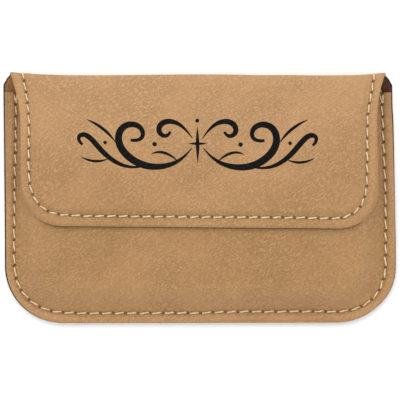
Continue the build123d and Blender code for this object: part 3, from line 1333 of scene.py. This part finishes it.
@dataclass
class FlapPanel(SewnPanel):
    """The flap and the upper half of the spine.

    Attributes:
        droop: how far the border droops where nothing is under it.
        border_droop: how far it droops everywhere.
        ears: how far each side stands out past the spine at the crease.
        shift: how far the flap is to the right.
        step: where the leatherette rises over the board, in from the cut edge.
        crown: how far the flap's middle is fuller than its border.
        skive_depth: how far the cut edge leans out under the face.
    """

    droop: float = 0.75
    border_droop: float = 0.12
    ears: float = 0.18
    shift: float = 0.12
    step: tuple[float, float] = (3.3, 5.0)
    crown: float = 0.10
    skive_depth: float = 0.15

    @property
    def pitch_wanted(self) -> float:
        """Length of a stitch, before the stitches are fitted to the seam."""
        return self.sizes.flap_pitch

    def make_fold(self) -> Fold:
        """Say how the flap lies in space.

        Returns:
            The fold.
        """
        s = self.sizes
        flat = s.top - s.crease_radius - s.flap_edge

        def slide(v: np.ndarray) -> np.ndarray:
            """Set the flap a little to the right, less so at the crease."""
            return self.shift - 0.14 * smooth(v, flat - 14.0, flat)

        return Fold(s.flap_edge, flat, s.crease_radius, s.border_top, 1, self.drift, slide)

    def make_plan(self, spacing: float = 0.5, fine: bool = True) -> Plan:
        """Say what outline the flap has: its sides flare in an arc up to the crease.

        Args:
            spacing: the grid's spacing away from the edge.
            fine: True for close rows at the edge and at the seam.

        Returns:
            The plan.
        """
        s = self.sizes
        bend = s.crease_radius * pi / 2
        spine = s.border_top - s.crease_radius - s.spine_middle
        length = self.fold.flat_length + bend + spine
        flare = s.crease_half + self.ears - s.flap_half
        radius = (s.flare_length**2 + flare**2) / (2 * flare)
        crease = s.top - s.flap_edge

        def spread(v: np.ndarray) -> np.ndarray:
            """Widen the flap in an arc up to the crease."""
            into = np.clip(np.minimum(v, crease) - (crease - s.flare_length), 0.0, s.flare_length)
            return radius - np.sqrt(radius**2 - into**2)

        return Plan(
            s.flap_half,
            s.flap_corner,
            length,
            s.seam_inset,
            spread,
            wander=flap_wander,
            spacing=spacing,
            fine=fine,
        )

    def skive(self, grid: Grid) -> np.ndarray:
        """Lean the cut along the flap's free edge, so that its core shows from above."""
        at_edge = 1 - smooth(grid.inset, 0.0, 0.5)
        return self.skive_depth * at_edge * (1 - smooth(grid.v, 0.1, 1.8))

    def hang(self, x: np.ndarray, v: np.ndarray, inset: np.ndarray) -> np.ndarray:
        """Let the border droop where nothing is under it.

        Args:
            x: place across the case.
            v: distance from the free edge.
            inset: distance in from the cut edge.

        Returns:
            The height that it adds.
        """
        past_pocket = smooth(np.abs(x), 41.5, 47.5)
        free = smooth(self.from_spine(v), 1.5, 9.0)
        loose = 1 - smooth(inset, 0.0, 5.2)
        return -self.droop * past_pocket * free * loose - self.border_droop * loose * free

    def padding(self, v: np.ndarray, inset: np.ndarray) -> np.ndarray:
        """Lift the leatherette over the flap's board.

        Args:
            v: distance from the free edge.
            inset: distance in from the cut edge.

        Returns:
            The height that it adds.
        """
        over = smooth(inset, *self.step) * smooth(self.from_spine(v), 0.2, 3.9)
        full = smooth(inset, 4.5, 15.0) * smooth(self.from_spine(v), 3.0, 13.0)
        return (self.sizes.board - 0.06) * over + self.crown * full

    def lining_faces(self, grid: Grid) -> tuple[np.ndarray, np.ndarray]:
        """Lay the lining flat under the board."""
        near = self.hang(grid.x, grid.v, grid.inset) - self.sizes.leather
        return near, near - self.sizes.lining

    def blank(self, x: np.ndarray, v: np.ndarray) -> tuple[np.ndarray, np.ndarray]:
        """Carry the grain on from the back round the spine."""
        return x * MM, (self.plan.length - np.asarray(v, float)) * MM

    def build(self) -> tuple[bpy.types.Object, bpy.types.Object]:
        """Make the leatherette and the lining, and bake each one's place into its mesh.

        Returns:
            The leatherette and the lining.
        """
        leather = self.build_leather("flap_and_spine_leatherette", self.finishes.flap_leather)
        lining = self.build_lining("flap_and_spine_lining", spread=-0.06)
        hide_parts("flap_leather", "spine_leather")
        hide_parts("flap_lining", "spine_lining")
        self.declare(leather, Hold.FOLDED, ["flap_board"])
        self.declare(lining, Hold.FOLDED, ["front_leather"])
        for piece in (leather, lining):
            self.bend(piece)
        return leather, lining

    def bend(self, piece: bpy.types.Object) -> None:
        """Bake the piece's place into its mesh; it is not made to turn at the crease between spine and
        flap.

        Args:
            piece: the piece.
        """
        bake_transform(piece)


@dataclass
class BackPanel(SewnPanel):
    """The back and the lower half of the spine.

    Attributes:
        outward: the outer face looks down.
        step: where the lining rises over the board, in from the cut edge.
        clearance: how far the border is above the table.
    """

    outward: int = -1
    step: tuple[float, float] = (4.6, 6.2)
    clearance: float = 0.10

    def make_fold(self) -> Fold:
        """Say how the back lies in space.

        Returns:
            The fold.
        """
        s = self.sizes
        flat = s.top - s.crease_radius - s.bottom
        return Fold(s.bottom, flat, s.crease_radius, 0.0, -1, self.drift)

    def make_plan(self, spacing: float = 0.5, fine: bool = True) -> Plan:
        """Say what outline the back has: its shoulders are cut in towards the crease.

        Args:
            spacing: the grid's spacing away from the edge.
            fine: True for close rows at the edge and at the seam.

        Returns:
            The plan.
        """
        s = self.sizes
        bend = s.crease_radius * pi / 2
        spine = s.spine_middle - s.crease_radius
        length = self.fold.flat_length + bend + spine
        cut = s.half_width - s.crease_half
        crease = s.top - s.bottom

        def spread(v: np.ndarray) -> np.ndarray:
            """Cut the shoulders in towards the crease.

            Args:
                v: distance from the free edge.

            Returns:
                How much wider it is.
            """
            into = np.clip((v - (crease - s.shoulder_drop)) / s.shoulder_drop, 0.0, 1.0)
            up = np.clip((v - crease) / (length - crease), 0.0, 1.0)
            return -s.shoulder_cut * into - (cut - s.shoulder_cut) * up

        return Plan(
            s.half_width,
            s.body_corner,
            length,
            s.seam_inset,
            spread,
            wander=body_wander,
            spacing=spacing,
            fine=fine,
        )

    def face_height(self, x: np.ndarray, v: np.ndarray, inset: np.ndarray) -> np.ndarray:
        """Keep the ripples above the table."""
        wave = self.ripple(x, v) * smooth(inset, 0.5, 4.0)
        return -self.clearance * smooth(inset, 3.0, 0.0) - np.clip(0.05 + wave, 0.0, None)

    def lining_faces(self, grid: Grid) -> tuple[np.ndarray, np.ndarray]:
        """Step the lining up over the back's board.

        Args:
            grid: the cut's grid.

        Returns:
            The two heights.
        """
        s = self.sizes
        over = smooth(grid.inset, *self.step) * smooth(self.from_spine(grid.v), 2.0, 3.9)
        near = -s.leather - s.board * over
        return near, near - s.lining

    def build(self) -> tuple[bpy.types.Object, bpy.types.Object]:
        """Make the leatherette and the lining, and bake each one's place into its mesh.

        Returns:
            The leatherette and the lining.
        """
        leather = self.build_leather("back_and_spine_leatherette", self.finishes.body_leather)
        lining = self.build_lining("back_and_spine_lining", spread=-0.45)
        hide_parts("back_leather")
        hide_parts("back_lining")
        self.declare(leather, Hold.FOLDED, ["back_board"])
        self.declare(lining, Hold.FOLDED, ["back_board"])
        for piece in (leather, lining):
            self.bend(piece)
        return leather, lining

    def bend(self, piece: bpy.types.Object) -> None:
        """Bake the piece's place into its mesh; it is not made to turn at the crease between back and
        spine.

        Args:
            piece: the piece.
        """
        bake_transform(piece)


@dataclass
class FrontPanel(SewnPanel):
    """The front of the pocket, raised from its sewn flange over the cards.

    Attributes:
        narrower: how much narrower than the back it is on each side.
        shift: how far the front is to the right.
        lip: how far the thumb notch's lips are rounded.
        wall: where the pocket's wall rises, in from the cut edge.
        inner_wall: where its lining rises.
        crown: how far the front's middle is fuller than its edge.
    """

    narrower: float = 0.30
    shift: float = 0.12
    lip: float = 0.8
    wall: tuple[float, float] = (3.2, 10.2)
    inner_wall: tuple[float, float] = (3.9, 10.0)
    crown: float = 0.05

    def make_fold(self) -> Fold:
        """Say how the front lies in space: it has no crease.

        Returns:
            The fold.
        """
        s = self.sizes

        def slide(v: np.ndarray) -> np.ndarray:
            """Set the front a little to the right, less so at its mouth."""
            return self.shift - 0.10 * smooth(v, 34.0, 58.0)

        return Fold(s.bottom, 10 * s.half_width, 1.0, s.flange_top, 1, self.drift, slide)

    def make_plan(self, spacing: float = 0.5, fine: bool = True) -> Plan:
        """Say what outline the front has, with the thumb notch in its mouth.

        Args:
            spacing: the grid's spacing away from the edge.
            fine: True for close rows at the edge and at the seam.

        Returns:
            The plan.
        """
        s = self.sizes
        length = s.mouth - s.bottom
        centre = length + s.thumb_radius - s.thumb_depth

        def spread(v: np.ndarray) -> np.ndarray:
            """Draw the sides in a little towards the mouth."""
            return -0.10 * smooth(v, 30.0, 62.0)

        def far_end(x: np.ndarray) -> np.ndarray:
            """Cut the thumb notch into the mouth, with rounded lips.

            Args:
                x: place across the case.

            Returns:
                The distance from the free edge.
            """
            inside = np.clip(s.thumb_radius**2 - np.asarray(x, float) ** 2, 0.0, None)
            notch = centre - np.sqrt(inside)
            meet = np.clip(0.5 + (notch - length) / (2 * self.lip), 0.0, 1.0)
            blend = notch * (1 - meet) + length * meet - self.lip * meet * (1 - meet)
            return np.where(np.abs(x) < s.thumb_radius, blend, length)

        return Plan(
            s.half_width - self.narrower,
            s.body_corner,
            length,
            s.seam_inset,
            spread,
            far_end=far_end,
            wander=body_wander,
            spacing=spacing,
            fine=fine,
        )

    def padding(self, v: np.ndarray, inset: np.ndarray) -> np.ndarray:
        """Raise the front over the cards and its own board.

        Args:
            v: distance from the free edge.
            inset: distance in from the cut edge.

        Returns:
            The height that it adds.
        """
        s = self.sizes
        rise = s.front_top - s.flange_top - self.crown
        return rise * smooth(inset, *self.wall) + self.crown * smooth(inset, 10.0, 24.0)

    def lining_faces(self, grid: Grid) -> tuple[np.ndarray, np.ndarray]:
        """Lay the lining under the board and down the pocket's walls.

        Args:
            grid: the cut's grid.

        Returns:
            The two heights.
        """
        s = self.sizes
        rise = s.front_top - s.flange_top - s.board
        near = -s.leather + rise * smooth(grid.inset, *self.inner_wall)
        return near, near - s.lining

    def build(self) -> tuple[bpy.types.Object, bpy.types.Object]:
        """Make the leatherette and the lining.

        Returns:
            The leatherette and the lining.
        """
        leather = self.build_leather("front_leatherette", self.finishes.body_leather)
        lining = self.build_lining("pocket_front_lining", spread=0.04)
        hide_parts("front_leather")
        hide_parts("front_lining")
        self.declare(leather, Hold.STRETCHED, ["front_board"])
        self.declare(lining, Hold.STRETCHED, ["front_board"])
        for piece in (leather, lining):
            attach(piece, "case_body")
        return leather, lining


@dataclass(frozen=True)
class Stitch:
    """One stitch: where it starts and ends along the seam, and how far off it, in millimetres."""

    start: float
    end: float
    start_off: float = 0.0
    end_off: float = 0.0


@dataclass
class Sewing:
    """Sews rows of stitches, all copies of one modelled stitch.

    Attributes:
        finishes: the case's finishes.
        thread_radius: the thread's radius.
        share: how much of the way from hole to hole a stitch fills.
        slant: how far a stitch turns off its seam, for its length.
        stray: how far it may lie off its seam.
        taper: how much thinner its ends are pulled.
        lift: how high the thread's middle lies.
        dive: how deep its ends go.
        seed: start of the random draws.
    """

    finishes: Finishes
    thread_radius: float = 0.25
    share: float = 0.82
    slant: float = 0.13
    stray: float = 0.05
    taper: float = 0.35
    lift: float = 0.06
    dive: float = 0.62
    seed: int = 11

    def __post_init__(self) -> None:
        """Model the one stitch that all others are copies of."""
        self.draw = np.random.default_rng(self.seed)
        self.points, self.faces = self.model_stitch()

    def model_stitch(self) -> tuple[np.ndarray, list[tuple[int, ...]]]:
        """Model one stitch: a short length of two-ply thread, flattened and twisted.

        Returns:
            Its points, one long and one in radius, and its faces.
        """
        bpy.ops.mesh.primitive_cylinder_add(
            vertices=8, radius=1.0, depth=1.0, end_fill_type="NGON", rotation=(0, pi / 2, 0)
        )
        piece = bpy.context.active_object
        bpy.ops.object.transform_apply(location=False, rotation=True, scale=False)
        bpy.ops.object.mode_set(mode="EDIT")
        cuts = 8
        for cut in range(1, cuts):
            bpy.ops.mesh.select_all(action="SELECT")
            bpy.ops.mesh.bisect(plane_co=(cut / cuts - 0.5, 0, 0), plane_no=(1, 0, 0))
        bpy.ops.mesh.select_all(action="SELECT")
        bpy.ops.transform.resize(value=(1, 1, 0.72))
        bpy.ops.object.mode_set(mode="OBJECT")
        twist = piece.modifiers.new("twist", "SIMPLE_DEFORM")
        twist.deform_method = "TWIST"
        twist.deform_axis = "X"
        twist.angle = radians(300)
        Workbench.apply_modifiers(piece)
        points = np.array([vertex.co for vertex in piece.data.vertices])
        faces = [tuple(face.vertices) for face in piece.data.polygons]
        bpy.data.objects.remove(piece)
        return points, faces

    def even_row(self, panel: SewnPanel, first: float, last: float) -> list[Stitch]:
        """Space stitches evenly, hole to hole.

        Args:
            panel: the panel whose holes they use.
            first: run at which the row starts.
            last: run at which it ends.

        Returns:
            The row's stitches.
        """
        start, end = round(first / panel.pitch), round(last / panel.pitch)
        return [Stitch(k * panel.pitch, (k + 1) * panel.pitch) for k in range(start, end)]

    def sew(
        self,
        name: str,
        panel: SewnPanel,
        row: Iterable[Stitch],
        base: float = 0.0,
        side: Face = Face.OUTSIDE,
    ) -> bpy.types.Object:
        """Lay copies of the stitch along a panel's seam.

        Args:
            name: the piece's name.
            panel: the panel that is sewn.
            row: the stitches.
            base: that face's height above the panel's outer face.
            side: the face that they lie on.

        Returns:
            The row as one piece.
        """
        points: list[np.ndarray] = []
        strands: list[np.ndarray] = []
        faces: list[tuple[int, ...]] = []
        around = np.arctan2(self.points[:, 2], self.points[:, 1]) / (2 * pi)
        for stitch in row:
            start = np.array(panel.plan.seam_point(max(stitch.start, 0.0)))
            end = np.array(panel.plan.seam_point(stitch.end))
            chord = end - start
            length = float(np.hypot(*chord))
            ahead = chord / length
            left = np.array([-ahead[1], ahead[0]])
            slant = self.slant * (1 + self.draw.uniform(-0.3, 0.3))
            share = self.share * (1 + self.draw.uniform(-0.04, 0.04))
            stray = self.draw.uniform(-self.stray, self.stray)
            turn = self.draw.uniform(0.0, 2 * pi)
            thick = self.thread_radius * (1 + self.draw.uniform(-0.07, 0.07))
            along = self.points[:, 0]
            y = self.points[:, 1] * cos(turn) - self.points[:, 2] * sin(turn)
            z = self.points[:, 1] * sin(turn) + self.points[:, 2] * cos(turn)
            ends = np.abs(2 * along)
            thin = 1 - self.taper * ends**6
            offs = stitch.start_off + (stitch.end_off - stitch.start_off) * (along + 0.5)
            off = offs + stray + slant * share * along * length + y * thick * thin
            reach = length * (0.5 + share * along)
            places = start + ahead * reach[:, None] + left * off[:, None]
            high = self.lift + z * thick * thin - self.dive * ends**5
            inset = np.full(len(places), panel.sizes.seam_inset)
            droop = panel.hang(places[:, 0], places[:, 1], inset)
            height = droop + base + side.value * high
            first = sum(len(p) for p in points)
            points.append(panel.fold.place(places[:, 0], places[:, 1], height))
            run = stitch.start + reach
            strands.append(np.stack([run, around + turn / (2 * pi)], axis=-1))
            faces.extend(tuple(first + index for index in face) for face in self.faces)
        flip = panel.outward * side.value < 0
        return self.make_row(name, points, strands, faces, flip)

    def make_row(
        self,
        name: str,
        points: list[np.ndarray],
        strands: list[np.ndarray],
        faces: list[tuple[int, ...]],
        flip: bool,
    ) -> bpy.types.Object:
        """Join the stitches' copies into one piece.

        Args:
            name: the piece's name.
            points: each stitch's points, in millimetres.
            strands: each stitch's map along and round the thread.
            faces: all the faces.
            flip: True where the faces would point inwards.

        Returns:
            The finished piece.
        """
        if flip:
            faces = [face[::-1] for face in faces]
        mesh = bpy.data.meshes.new(name)
        mesh.from_pydata((np.concatenate(points) * MM).tolist(), [], faces)
        mesh.materials.append(self.finishes.thread)
        corners = np.zeros(len(mesh.loops), np.int32)
        mesh.loops.foreach_get("vertex_index", corners)
        layer = mesh.uv_layers.new(name="Strand")
        strand = np.concatenate(strands)[corners].astype(np.float32)
        layer.data.foreach_set("uv", strand.ravel())
        piece = bpy.data.objects.new(name, mesh)
        bpy.context.scene.collection.objects.link(piece)
        Workbench.pick(piece)
        bpy.ops.object.shade_smooth()
        return piece


@dataclass
class Seams:
    """Every row of stitches on the case."""

    back: BackPanel
    flap: FlapPanel
    front: FrontPanel
    sewing: Sewing

    def build(self) -> list[bpy.types.Object]:
        """Sew the rows; the front's row is hung on the case's body.

        Returns:
            The rows.
        """
        return [*self.flap_rows(), *self.body_rows(), self.inside_corners()]

    def flap_rows(self) -> list[bpy.types.Object]:
        """Sew the flap's two faces.

        Returns:
            The outer row and the inner row.
        """
        whole = self.sewing.even_row(self.flap, 0.0, self.flap.plan.seam_length())
        under = -self.flap.sizes.sheets
        top = self.sewing.sew("flap_seam_outside", self.flap, whole)
        inside = self.sewing.sew("flap_seam_inside", self.flap, whole, under, Face.INSIDE)
        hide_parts("flap_top_thread", "spine_outer_thread")
        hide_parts("flap_under_thread", "spine_inner_thread")
        for row in (top, inside):
            self.flap.bend(row)
        return [top, inside]

    def backtack(self, panel: SewnPanel) -> list[Stitch]:
        """Give the doubled stitches that lock the seam at the two ends of the mouth.

        Args:
            panel: the panel that is sewn.

        Returns:
            The stitches.
        """
        step, total = panel.pitch, panel.plan.seam_length()
        wide = 0.42
        return [
            Stitch(0.15, step, wide, 0.05),
            Stitch(0.15, step, -wide, -0.05),
            Stitch(total - step, total - 0.15, 0.05, wide),
            Stitch(total - step, total - 0.15, -0.05, -wide),
        ]

    def body_rows(self) -> list[bpy.types.Object]:
        """Sew the front panel's flange and the back.

        Returns:
            The front's row and the back's.
        """
        total = self.front.plan.seam_length()
        step = self.front.pitch
        row = self.sewing.even_row(self.front, step, total - step)
        front = self.sewing.sew("front_seam", self.front, row + self.backtack(self.front))
        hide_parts("body_front_thread")
        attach(front, "case_body")
        whole = self.sewing.even_row(self.back, 0.0, self.back.plan.seam_length())
        back = self.sewing.sew("back_seam", self.back, whole, base=-0.37)
        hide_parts("body_back_thread")
        self.back.bend(back)
        return [front, back]

    def inside_corners(self) -> bpy.types.Object:
        """Sew what shows of the seam inside, from the mouth to the middle of the spine.

        Returns:
            The row.
        """
        back = self.back
        reach = back.plan.length - (back.sizes.mouth - back.sizes.bottom)
        total = back.plan.seam_length()
        spans = [*self.sewing.even_row(back, 0.0, reach - 1.0)]
        spans += self.sewing.even_row(back, total - reach + 1.0, total)
        row = [Stitch(span.start, span.end, 0.5, 0.5) for span in spans]
        under = -back.sizes.sheets
        row = self.sewing.sew("spine_seam_inside", back, row, under, Face.INSIDE)
        back.bend(row)
        return row


@dataclass(frozen=True)
class Stroke:
    """One stroke of the ornament: its guide points and its widest half width, in millimetres."""

    guide: tuple[tuple[float, float], ...]
    broad: float
    start: float = 0.12
    end: float = 0.12
    fullest: float = 0.5


MIDDLE = (
    Stroke(((0.0, 4.6), (0.0, 2.2), (0.0, 0.0), (0.0, -2.4), (0.0, -5.4)), 0.62, 0.05, 0.05),
    Stroke(((-2.5, 0.0), (-1.2, 0.0), (0.0, 0.0), (1.2, 0.0), (2.5, 0.0)), 0.48, 0.05, 0.05),
)

SCROLLS = (
    Stroke(
        (
            (1.6, -1.2), (4.0, -4.4), (9.0, -6.9), (16.5, -6.2), (22.2, -1.0),
            (21.6, 4.4), (17.4, 5.9), (14.2, 3.4), (15.4, 0.5), (18.4, 0.9),
        ),
        1.05, 0.12, 0.42, 0.36,
    ),
    Stroke(
        (
            (12.6, -5.6), (18.0, -7.6), (24.6, -4.6), (28.4, 0.6),
            (31.6, 3.4), (33.4, 1.2), (31.6, -0.4),
        ),
        0.80, 0.10, 0.36, 0.45,
    ),
    Stroke(
        ((1.4, 1.4), (3.6, 4.8), (7.4, 6.8), (10.8, 5.2), (10.6, 2.2), (8.2, 1.7), (7.4, 3.3)),
        0.82, 0.10, 0.36, 0.42,
    ),
    Stroke(((5.2, -5.2), (7.6, -2.6), (10.6, -1.6), (12.8, -3.0)), 0.60, 0.05, 0.05, 0.55),
    Stroke(((22.6, 0.4), (24.8, 3.6), (27.6, 5.4), (30.4, 6.6)), 0.66, 0.10, 0.05, 0.45),
    Stroke(((24.4, -4.2), (27.0, -5.4), (29.6, -5.2), (32.0, -3.8)), 0.58, 0.05, 0.05, 0.5),
)

DOTS = ((11.8, -0.2, 0.62), (25.4, 0.2, 0.50), (0.0, 6.3, 0.55))


@dataclass
class Ornament:
    """A mirrored scroll of thick and thin strokes, burnt into the flap."""

    flap: FlapPanel
    centre_x: float = -0.4
    centre_y: float = 14.8
    lift: float = 0.015
    char_depth: float = 0.10

    def stroke(self, stroke: Stroke, mirrored: bool) -> bpy.types.Object:
        """Draw one stroke as a flattened round curve and turn it into a mesh.

        Args:
            stroke: its guide and widths.
            mirrored: True for the copy on the left.

        Returns:
            The stroke's mesh, still flat, in millimetres.
        """
        Workbench.clear()
        bpy.ops.curve.primitive_nurbs_path_add()
        path = bpy.context.active_object
        curve = path.data
        curve.splines.clear()
        line = curve.splines.new("NURBS")
        line.points.add(len(stroke.guide) - 1)
        line.order_u = 4
        line.use_endpoint_u = True
        line.resolution_u = 10
        last = len(stroke.guide) - 1
        side = -1.0 if mirrored else 1.0
        for number, (point, (x, y)) in enumerate(zip(line.points, stroke.guide)):
            share = number / last
            before = share <= stroke.fullest
            rest = share / stroke.fullest if before else (1 - share) / (1 - stroke.fullest)
            thin = stroke.start if before else stroke.end
            point.co = (side * x, y, 0.0, 1.0)
            point.radius = thin + (stroke.broad - thin) * sin(rest * pi / 2) ** 1.6
        curve.dimensions = "3D"
        curve.bevel_depth = 1.0
        curve.bevel_resolution = 2
        curve.use_fill_caps = True
        Workbench.pick(path)
        bpy.ops.object.convert(target="MESH")
        return bpy.context.active_object

    def dot(self, x: float, y: float, radius: float) -> bpy.types.Object:
        """Model one round dot with a soft edge.

        Args:
            x: place across.
            y: place along.
            radius: the dot's radius.

        Returns:
            The dot's mesh, still flat, in millimetres.
        """
        Workbench.clear()
        bpy.ops.mesh.primitive_cylinder_add(
            vertices=20, radius=radius, depth=0.6, location=(x, y, 0.0)
        )
        piece = bpy.context.active_object
        bpy.ops.object.transform_apply(location=True, rotation=False, scale=False)
        bevel = piece.modifiers.new("edge", "BEVEL")
        bevel.width = 0.12
        bevel.segments = 2
        Workbench.apply_modifiers(piece)
        return piece

    def settle(self, piece: bpy.types.Object) -> None:
        """Press the flat drawing into the flap's leatherette and map it.

        Args:
            piece: the drawing.
        """
        mesh = piece.data
        points = np.zeros(len(mesh.vertices) * 3, np.float32)
        mesh.vertices.foreach_get("co", points)
        points = points.reshape(-1, 3).astype(float)
        x = self.centre_x + points[:, 0]
        v = self.centre_y + points[:, 1] - self.flap.fold.start_y
        inset = self.flap.plan.inset(x, v)
        above = np.where(points[:, 2] > 0, self.lift, -self.char_depth)
        round_off = np.clip(np.abs(points[:, 2]) / 0.2, 0.0, 1.0)
        height = self.flap.face_height(x, v, inset) + above * round_off
        placed = self.flap.fold.place(x, v, height) * MM
        mesh.vertices.foreach_set("co", placed.astype(np.float32).ravel())
        corners = np.zeros(len(mesh.loops), np.int32)
        mesh.loops.foreach_get("vertex_index", corners)
        while mesh.uv_layers:
            mesh.uv_layers.remove(mesh.uv_layers[0])
        layer = mesh.uv_layers.new(name="Blank")
        flat = np.stack(self.flap.blank(x, v), axis=-1)[corners]
        layer.data.foreach_set("uv", flat.astype(np.float32).ravel())
        mesh.update()

    def build(self) -> bpy.types.Object:
        """Draw every stroke and dot, join them and press them into the flap.

        Returns:
            The finished ornament.
        """
        marks = [self.stroke(stroke, False) for stroke in MIDDLE]
        for mirrored in (False, True):
            side = -1.0 if mirrored else 1.0
            marks += [self.stroke(stroke, mirrored) for stroke in SCROLLS]
            marks += [self.dot(side * x, y, r) for x, y, r in DOTS if x or not mirrored]
        Workbench.clear()
        for mark in marks:
            mark.select_set(True)
        piece = marks[0]
        bpy.context.view_layer.objects.active = piece
        bpy.ops.object.join()
        bpy.ops.object.transform_apply(location=True, rotation=True, scale=True)
        piece.name = "flap_ornament"
        piece.data.name = "flap_ornament"
        Workbench.pick(piece)
        bpy.ops.object.mode_set(mode="EDIT")
        bpy.ops.mesh.select_all(action="SELECT")
        bpy.ops.mesh.normals_make_consistent(inside=False)
        bpy.ops.object.mode_set(mode="OBJECT")
        self.settle(piece)
        piece.data.materials.clear()
        piece.data.materials.append(self.flap.finishes.engraving)
        bpy.ops.object.shade_smooth_by_angle(angle=radians(50))
        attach(piece, "flap")
        return piece


@dataclass
class Stiffening:
    """The boards and magnets inside, whose shapes the frame already holds."""

    finishes: Finishes
    boards: tuple[str, ...] = ("back_board", "front_board", "flap_board")
    magnets: tuple[str, ...] = ("front_magnet", "flap_magnet")

    def dress(self) -> list[bpy.types.Object]:
        """Give the boards and magnets their finishes.

        Returns:
            The dressed nodes.
        """
        dressed = []
        kinds = ((self.boards, self.finishes.board), (self.magnets, self.finishes.nickel))
        for names, finish in kinds:
            for name in names:
                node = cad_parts[name]
                for place in node.material_slots:
                    place.material = finish
                dressed.append(node)
        return dressed


@dataclass
class CardCase:
    """The whole case, from its sheets to its seams."""

    sizes: CaseSizes

    def __post_init__(self) -> None:
        """Lay out the three cuts, then make the finishes that fit their stitches."""
        drift = HandDrift(self.sizes)
        self.finishes = Finishes(self.sizes)
        self.back = BackPanel(self.sizes, self.finishes, drift, seed=3)
        self.flap = FlapPanel(self.sizes, self.finishes, drift, seed=5)
        self.front = FrontPanel(self.sizes, self.finishes, drift, seed=8)

    def build(self) -> list[bpy.types.Object]:
        """Build every piece in the order in which the case is made.

        Returns:
            The pieces.
        """
        pieces = [*self.back.build(), *self.flap.build(), *self.front.build()]
        seams = Seams(self.back, self.flap, self.front, Sewing(self.finishes))
        pieces += seams.build()
        pieces.append(Ornament(self.flap).build())
        pieces += Stiffening(self.finishes).dress()
        return pieces


@dataclass
class Studio:
    """A pale table under a wide soft light, seen from straight above."""

    finishes: Finishes
    camera_height: float = 1.0
    lens: float = 325.0
    aim_y: float = -0.00064
    sky: float = 1.15
    key_place: tuple[float, float, float] = (-0.05, 0.30, 0.50)
    key_size: float = 0.5
    key_power: float = 1.3

    def floor(self) -> bpy.types.Object:
        """Lay the table that the case rests on.

        Returns:
            The table.
        """
        Workbench.clear()
        bpy.ops.mesh.primitive_plane_add(size=6.0, location=(0, 0, -0.0001))
        table = bpy.context.active_object
        bpy.ops.object.transform_apply(location=True, rotation=False, scale=False)
        table.name = "table"
        table.data.materials.append(self.finishes.floor)
        return table

    def light(self) -> bpy.types.Object:
        """Hang the wide soft light, a little towards the case's spine.

        Returns:
            The light.
        """
        data = bpy.data.lights.new("key", "AREA")
        data.shape = "SQUARE"
        data.size = self.key_size
        data.energy = self.key_power
        lamp = bpy.data.objects.new("key", data)
        bpy.context.scene.collection.objects.link(lamp)
        lamp.location = self.key_place
        aim = -Vector(self.key_place)
        lamp.rotation_euler = aim.to_track_quat("-Z", "Y").to_euler()
        return lamp

    def world(self) -> None:
        """Fill the room with even white light."""
        world = bpy.data.worlds.new("room")
        world.use_nodes = True
        background = world.node_tree.nodes["Background"]
        background.inputs["Color"].default_value = (1.0, 1.0, 1.0, 1.0)
        background.inputs["Strength"].default_value = self.sky
        bpy.context.scene.world = world

    def camera(self) -> bpy.types.Object:
        """Set the camera straight above the case.

        Returns:
            The camera.
        """
        data = bpy.data.cameras.new("camera")
        data.lens = self.lens
        data.sensor_width = 36.0
        data.clip_end = 20.0
        camera = bpy.data.objects.new("camera", data)
        bpy.context.scene.collection.objects.link(camera)
        camera.location = (0.0, self.aim_y, self.camera_height)
        bpy.context.scene.camera = camera
        return camera

    def build(self) -> None:
        """Set up the table, the light and the camera."""
        self.floor()
        self.light()
        self.world()
        self.camera()
        bpy.context.scene.view_settings.view_transform = "Standard"


def main() -> None:
    """Build the case and the studio, and report each piece."""
    logging.basicConfig(level=logging.INFO, format="%(name)s: %(message)s")
    case = CardCase(CaseSizes.from_frame())
    for piece in case.build():
        LOG.info("%s: %d faces", piece.name, len(piece.data.polygons))
    Studio(case.finishes).build()


if __name__ == "__main__":
    main()
